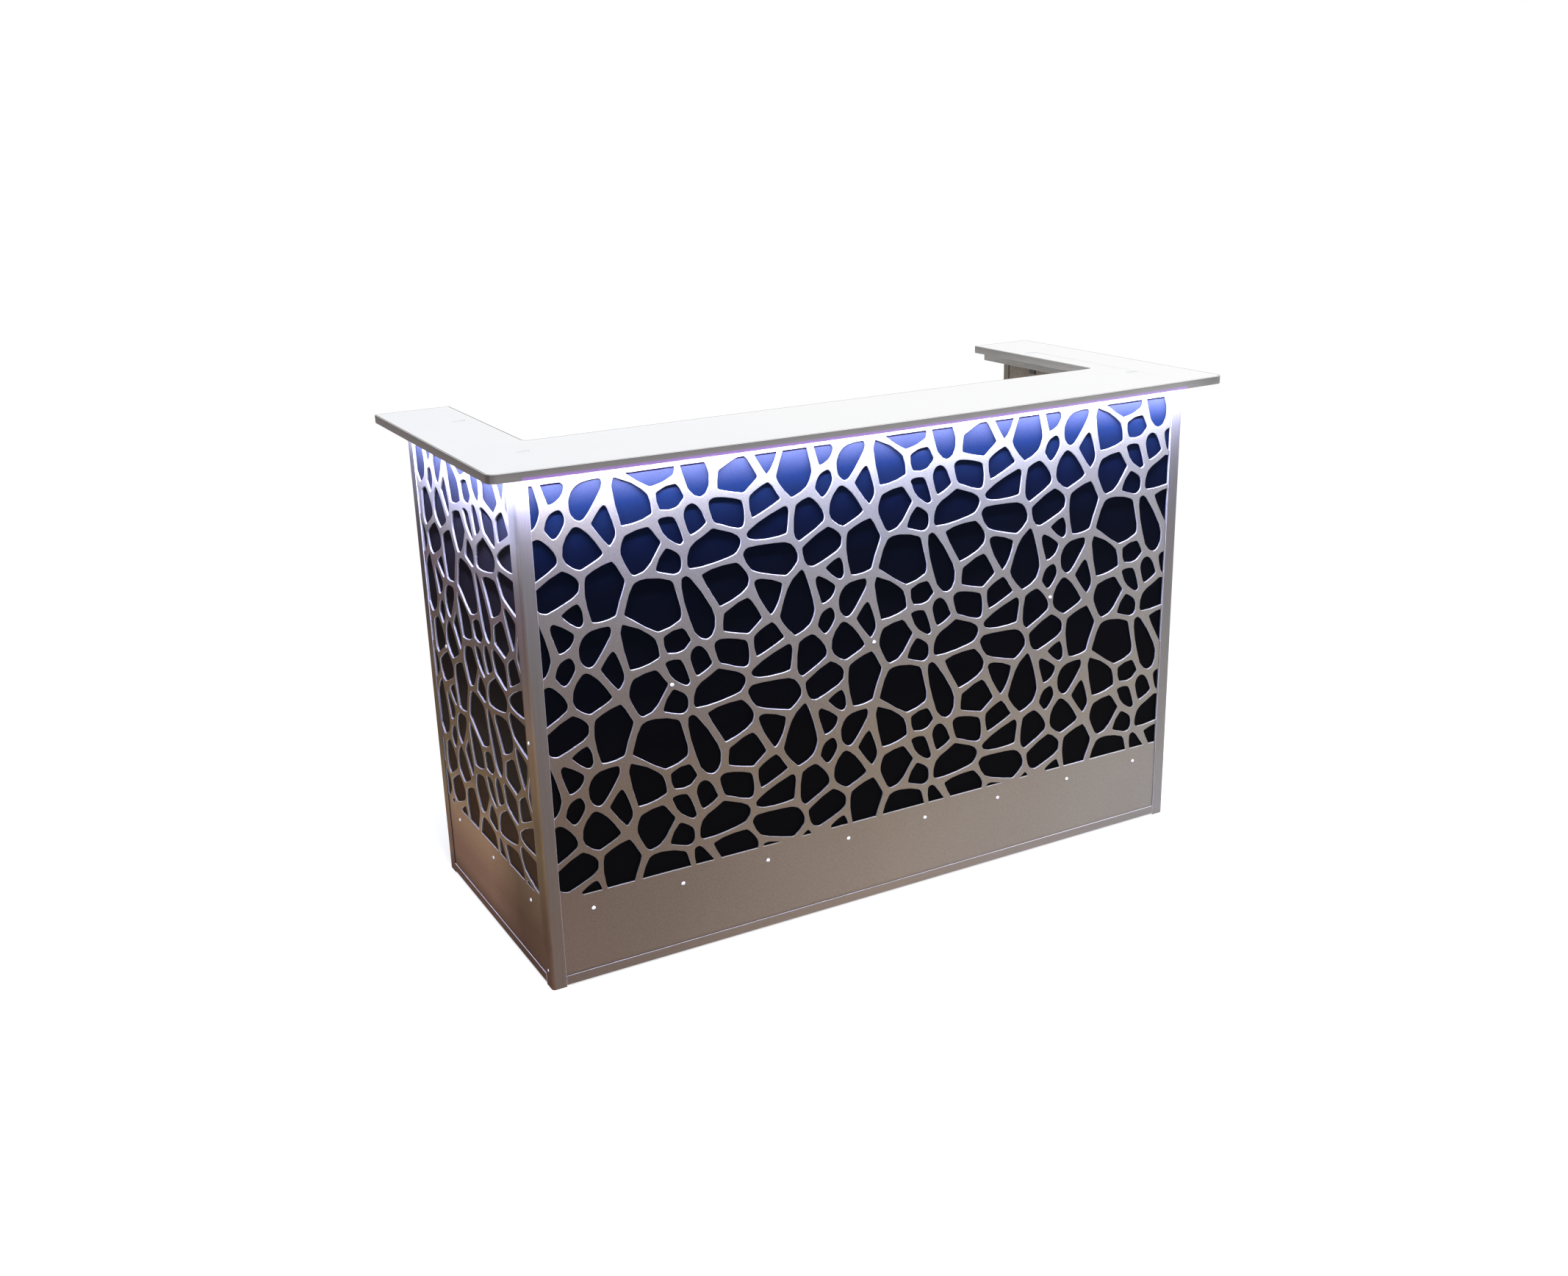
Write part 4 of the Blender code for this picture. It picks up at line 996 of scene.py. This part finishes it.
def make_rivets():
    """The front's rivets and the post screws where the solids are, and the side walls' rivets."""
    rivet = dome(RIVET_RADIUS, RIVET_HEIGHT, SHEET, RIVET_PIT)
    screw = dome(SCREW_RADIUS, SCREW_HEIGHT, SCREW_LENGTH, SCREW_PIT)
    for node in sorted(frame["nodes"]):
        if "_rivet_" in node:
            middle = middle_of(node)
            head(node + "_head", "front", (middle.x, SHEET_OUT, middle.z), rivet, (node,))
        elif "_post_screw_" in node:
            wall = node.split("_")[0]
            head(node + "_head", wall, (SIDES[wall] * HALF_WIDTH, *middle_of(node).yz), screw, (node,))
    for wall, side in SIDES.items():
        sheet_x = side * (HALF_WIDTH - SHEET_SETBACK)
        places = [(sheet_x, FRONT + depth, SIDE_RIVET_HEIGHT) for depth in SIDE_RIVET_DEPTHS]
        across, z = pattern_place(PATTERN_STARTS[wall], *JUNCTIONS[wall])
        places += [(sheet_x, side * across, z), (side * HALF_WIDTH, FRONT + POST_RIVET[0], POST_RIVET[1])]
        for number, place in enumerate(places, 1):
            head(f"{wall}_wall_rivet_{number}", wall, place, rivet)


# Inside

def rear_edge(normal, middle):
    """1 for a board's rear edge."""
    return 1 if normal.y > 0.7 else 0


def inner_edge(normal, middle):
    """1 for the rear edge and the inner side of a board under the worktop."""
    return 1 if normal.y > 0.7 or normal.x * middle.x < -0.3 else 0


def make_boards():
    """Shelves, uprights, battens and the boards under the worktop."""
    dressed("front_top_rail", (LONG_BOARD,), 0.0006)
    for level in ("lower", "upper"):
        dressed(level + "_shelf", (LONG_BOARD, BOARD_EDGE), 0.0008, rear_edge)
        dressed(level + "_upright", (UPRIGHT_BOARD, BOARD_EDGE), 0.0008, rear_edge)
        for name in SIDES:
            dressed(f"{name}_{level}_batten", (DEEP_BOARD,), 0.0010)
    for name in SIDES:
        dressed(name + "_top_rail", (DEEP_BOARD, PALE_BOARD), 0.0006, inner_edge)


def pan_screw(place, turn):
    """A small pan-head screw with a pit for the driver."""
    profile = [(0, 0.0004), (0.0009, 0.0005), (0.0011, 0.0017), (0.0024, 0.0015), (0.0034, 0.0009),
               (0.0036, 0), (0.0012, 0), (0.0012, -0.0020), (0, -0.0020)]
    return turned(profile, at(place, turn), 16)


def make_brackets():
    """The angle brackets, each with two screws in either leg."""
    for node in ("left_side_bracket", "right_side_bracket", "left_front_bracket", "right_front_bracket"):
        dressed(node, (ZINC,), 0.0005)
        low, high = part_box(node)
        leg = high.z - low.z
        heads = []
        if "side" in node:
            side = 1 if low.x > 0 else -1
            wall_x = high.x if side > 0 else low.x
            inward = rotation(0, -side * QUARTER, 0)
            for y in (low.y + BRACKET_SCREW_INSET, high.y - BRACKET_SCREW_INSET):
                heads.append(pan_screw((wall_x - side * leg * 0.6, y, high.z - BRACKET_SKIN), DOWN))
                heads.append(pan_screw((wall_x - side * BRACKET_SKIN, y, low.z + leg * 0.4), inward))
        else:
            inward = rotation(-QUARTER, 0, 0)
            for x in (low.x + BRACKET_SCREW_INSET, high.x - BRACKET_SCREW_INSET):
                heads.append(pan_screw((x, low.y + leg * 0.6, high.z - BRACKET_SKIN), DOWN))
                heads.append(pan_screw((x, low.y + BRACKET_SKIN, low.z + leg * 0.4), inward))
        new_piece(node + "_screws", joined(heads), (ZINC,))


def make_driver():
    """The strips' driver: a moulded case with a let-in lid and a screw at each corner."""
    shape = merged_copy("light_driver")
    lid = [face for face in shape.faces if face.normal.z < -0.9]
    for inset, depth in ((LID_INSET, 0.0), (LID_GROOVE, -LID_DEPTH)):
        bmesh.ops.inset_region(shape, faces=lid, thickness=inset, depth=depth, use_even_offset=True)
    soften(shape, 0.0003)
    new_piece("light_driver_case", shape, (BLACK_PLASTIC,), replaced=("light_driver",))
    low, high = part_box("light_driver")
    heads = [pan_screw((x, y, low.z + LID_DEPTH), DOWN)
             for x in (low.x + DRIVER_SCREW_INSET, high.x - DRIVER_SCREW_INSET)
             for y in (low.y + DRIVER_SCREW_INSET, high.y - DRIVER_SCREW_INSET)]
    new_piece("light_driver_screws", joined(heads), (ZINC,))


def make_inlet():
    """The supply socket, with three blades in its pocket."""
    dressed("supply_inlet", (BLACK_PLASTIC,), 0.0008)
    middle = middle_of("supply_inlet")
    blade_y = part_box("supply_inlet")[1].y - SOCKET_POCKET + BLADE_SIZE[1] / 2
    blades = [block(BLADE_SIZE, at((middle.x + dx, blade_y, middle.z + dz)), 0.0005)
              for dx, dz in BLADE_PLACES]
    new_piece("supply_inlet_blades", joined(blades), (PIN_METAL,))


def make_switch():
    """The switch's housing, and its rocker with a bar and a ring for on and off."""
    dressed("switch_housing", (BLACK_PLASTIC,), 0.0006)
    dressed("rocker", (ROCKER_PLASTIC,), 0.0004, body="switch_rocker")
    pivot = next(j for j in frame["joints"] if j["name"] == "light_switch")["pos_m"]
    tipped = at(pivot, rotation(ROCKER_TILT, 0, 0))
    depth, rise = ROCKER_FACE_MIDDLE
    bar_face, ring_face = (tipped @ at((0, depth, way * rise), rotation(-way * ROCKER_FACE_SLOPE, 0, 0))
                           for way in (1, -1))
    bar = block((0.0006, 0.0004, 0.0040), bar_face, 0.0001)
    rim = [(0.0014, -0.0002), (0.0014, 0.0002), (0.0020, 0.0002), (0.0020, -0.0002), (0.0014, -0.0002)]
    ring = turned(rim, ring_face @ rotation(-QUARTER, 0, 0), 32)
    for name, shape in (("rocker_bar_mark", bar), ("rocker_ring_mark", ring)):
        new_piece(name, shape, (MARK_PAINT,), body="switch_rocker")


# The studio

def seen_directly(owner):
    """1 for camera, glossy and transmission rays, which see the plain white of the studio."""
    rays = add_node(owner, "LightPath").outputs
    kinds = ("Is Camera Ray", "Is Glossy Ray", "Is Transmission Ray")
    return math_node(owner, "MAXIMUM", *(rays[kind] for kind in kinds))


def make_world():
    """An even white surround."""
    world = bpy.data.worlds.new("studio")
    world.use_nodes = True
    bpy.context.scene.world = world
    background = world.node_tree.nodes["Background"]
    connect(world, background, "Color", (1, 1, 1, 1))
    connect(world, background, "Strength", ranged(world, seen_directly(world), 0.0, 1.0, WORLD_LEVEL, 1.0))


def make_floor():
    """A wide pale floor, white where no shadow falls on it."""
    shape = bmesh.new()
    bmesh.ops.create_grid(shape, x_segments=4, y_segments=4, size=FLOOR_SIZE)
    mesh = bpy.data.meshes.new("floor")
    shape.to_mesh(mesh)
    shape.free()
    finish = new_finish("pale_floor")
    nodes = finish.node_tree.nodes
    nodes.remove(nodes["Principled BSDF"])
    plain, shadowed = (add_node(finish, "BsdfDiffuse", {"Color": (grey, grey, grey, 1)}).outputs["BSDF"]
                       for grey in (0.70, 0.36))
    white = add_node(finish, "Emission", {"Strength": 0.70}).outputs["Emission"]
    lit = add_node(finish, "AddShader", {0: shadowed, 1: white}).outputs["Shader"]
    mix = add_node(finish, "MixShader", {"Fac": seen_directly(finish), 1: plain, 2: lit})
    connect(finish, nodes["Material Output"], "Surface", mix.outputs["Shader"])
    mesh.materials.append(finish)
    floor = show(bpy.data.objects.new("floor", mesh))


def new_lamp(name, kind, energy, **settings):
    """A lamp in the scene."""
    data = bpy.data.lights.new(name, kind)
    data.energy = energy
    for setting, value in settings.items():
        setattr(data, setting, value)
    return show(bpy.data.objects.new(name, data))


def strip_lamp(wall):
    """A long lamp close under a strip's cover, shining down."""
    low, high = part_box(wall + "_light_cover")
    size = high - low
    length = max(size.x, size.y)
    sizes = (length, STRIP_WIDTH) if size.x > size.y else (STRIP_WIDTH, length)
    lamp = new_lamp(wall + "_strip_lamp", "AREA", STRIP_POWER_PER_METRE * length, shape="RECTANGLE",
                    size=sizes[0], size_y=sizes[1], color=STRIP_COLOUR)
    lamp.location = (*middle_of(wall + "_light_cover").xy, low.z - STRIP_DROP)


def facing(direction):
    """The turn of a lamp that shines back along a direction."""
    return Vector(direction).to_track_quat("Z", "Y").to_euler()


def make_lights():
    """A broad sun and a weak soft lamp from the guests' right, and the strips under the worktop."""
    sun = new_lamp("soft_sun", "SUN", SUN_STRENGTH, angle=math.radians(SUN_SIZE))
    sun.rotation_euler = facing(SUN_DIRECTION)
    key = new_lamp("soft_key", "AREA", KEY_POWER, shape="DISK", size=KEY_SIZE)
    key.location = KEY_PLACE
    key.rotation_euler = facing(Vector(KEY_PLACE) - Vector(KEY_AIM))
    key.visible_camera = False
    for wall in WALLS:
        strip_lamp(wall)


def make_camera():
    """The camera where the photograph was taken from."""
    data = bpy.data.cameras.new("camera")
    data.sensor_fit = "HORIZONTAL"
    data.sensor_width = 36.0
    data.lens = CAMERA_LENS
    data.clip_end = 200.0
    camera = show(bpy.data.objects.new("camera", data))
    camera.location = CAMERA_PLACE
    camera.rotation_euler = [math.radians(angle) for angle in CAMERA_TURN]
    bpy.context.scene.camera = camera


make_screens()
make_backings()
make_worktop()
make_frame()
make_rivets()
make_boards()
make_brackets()
make_driver()
make_inlet()
make_switch()
make_world()
make_floor()
make_lights()
make_camera()
bpy.context.scene.view_settings.view_transform = "Standard"
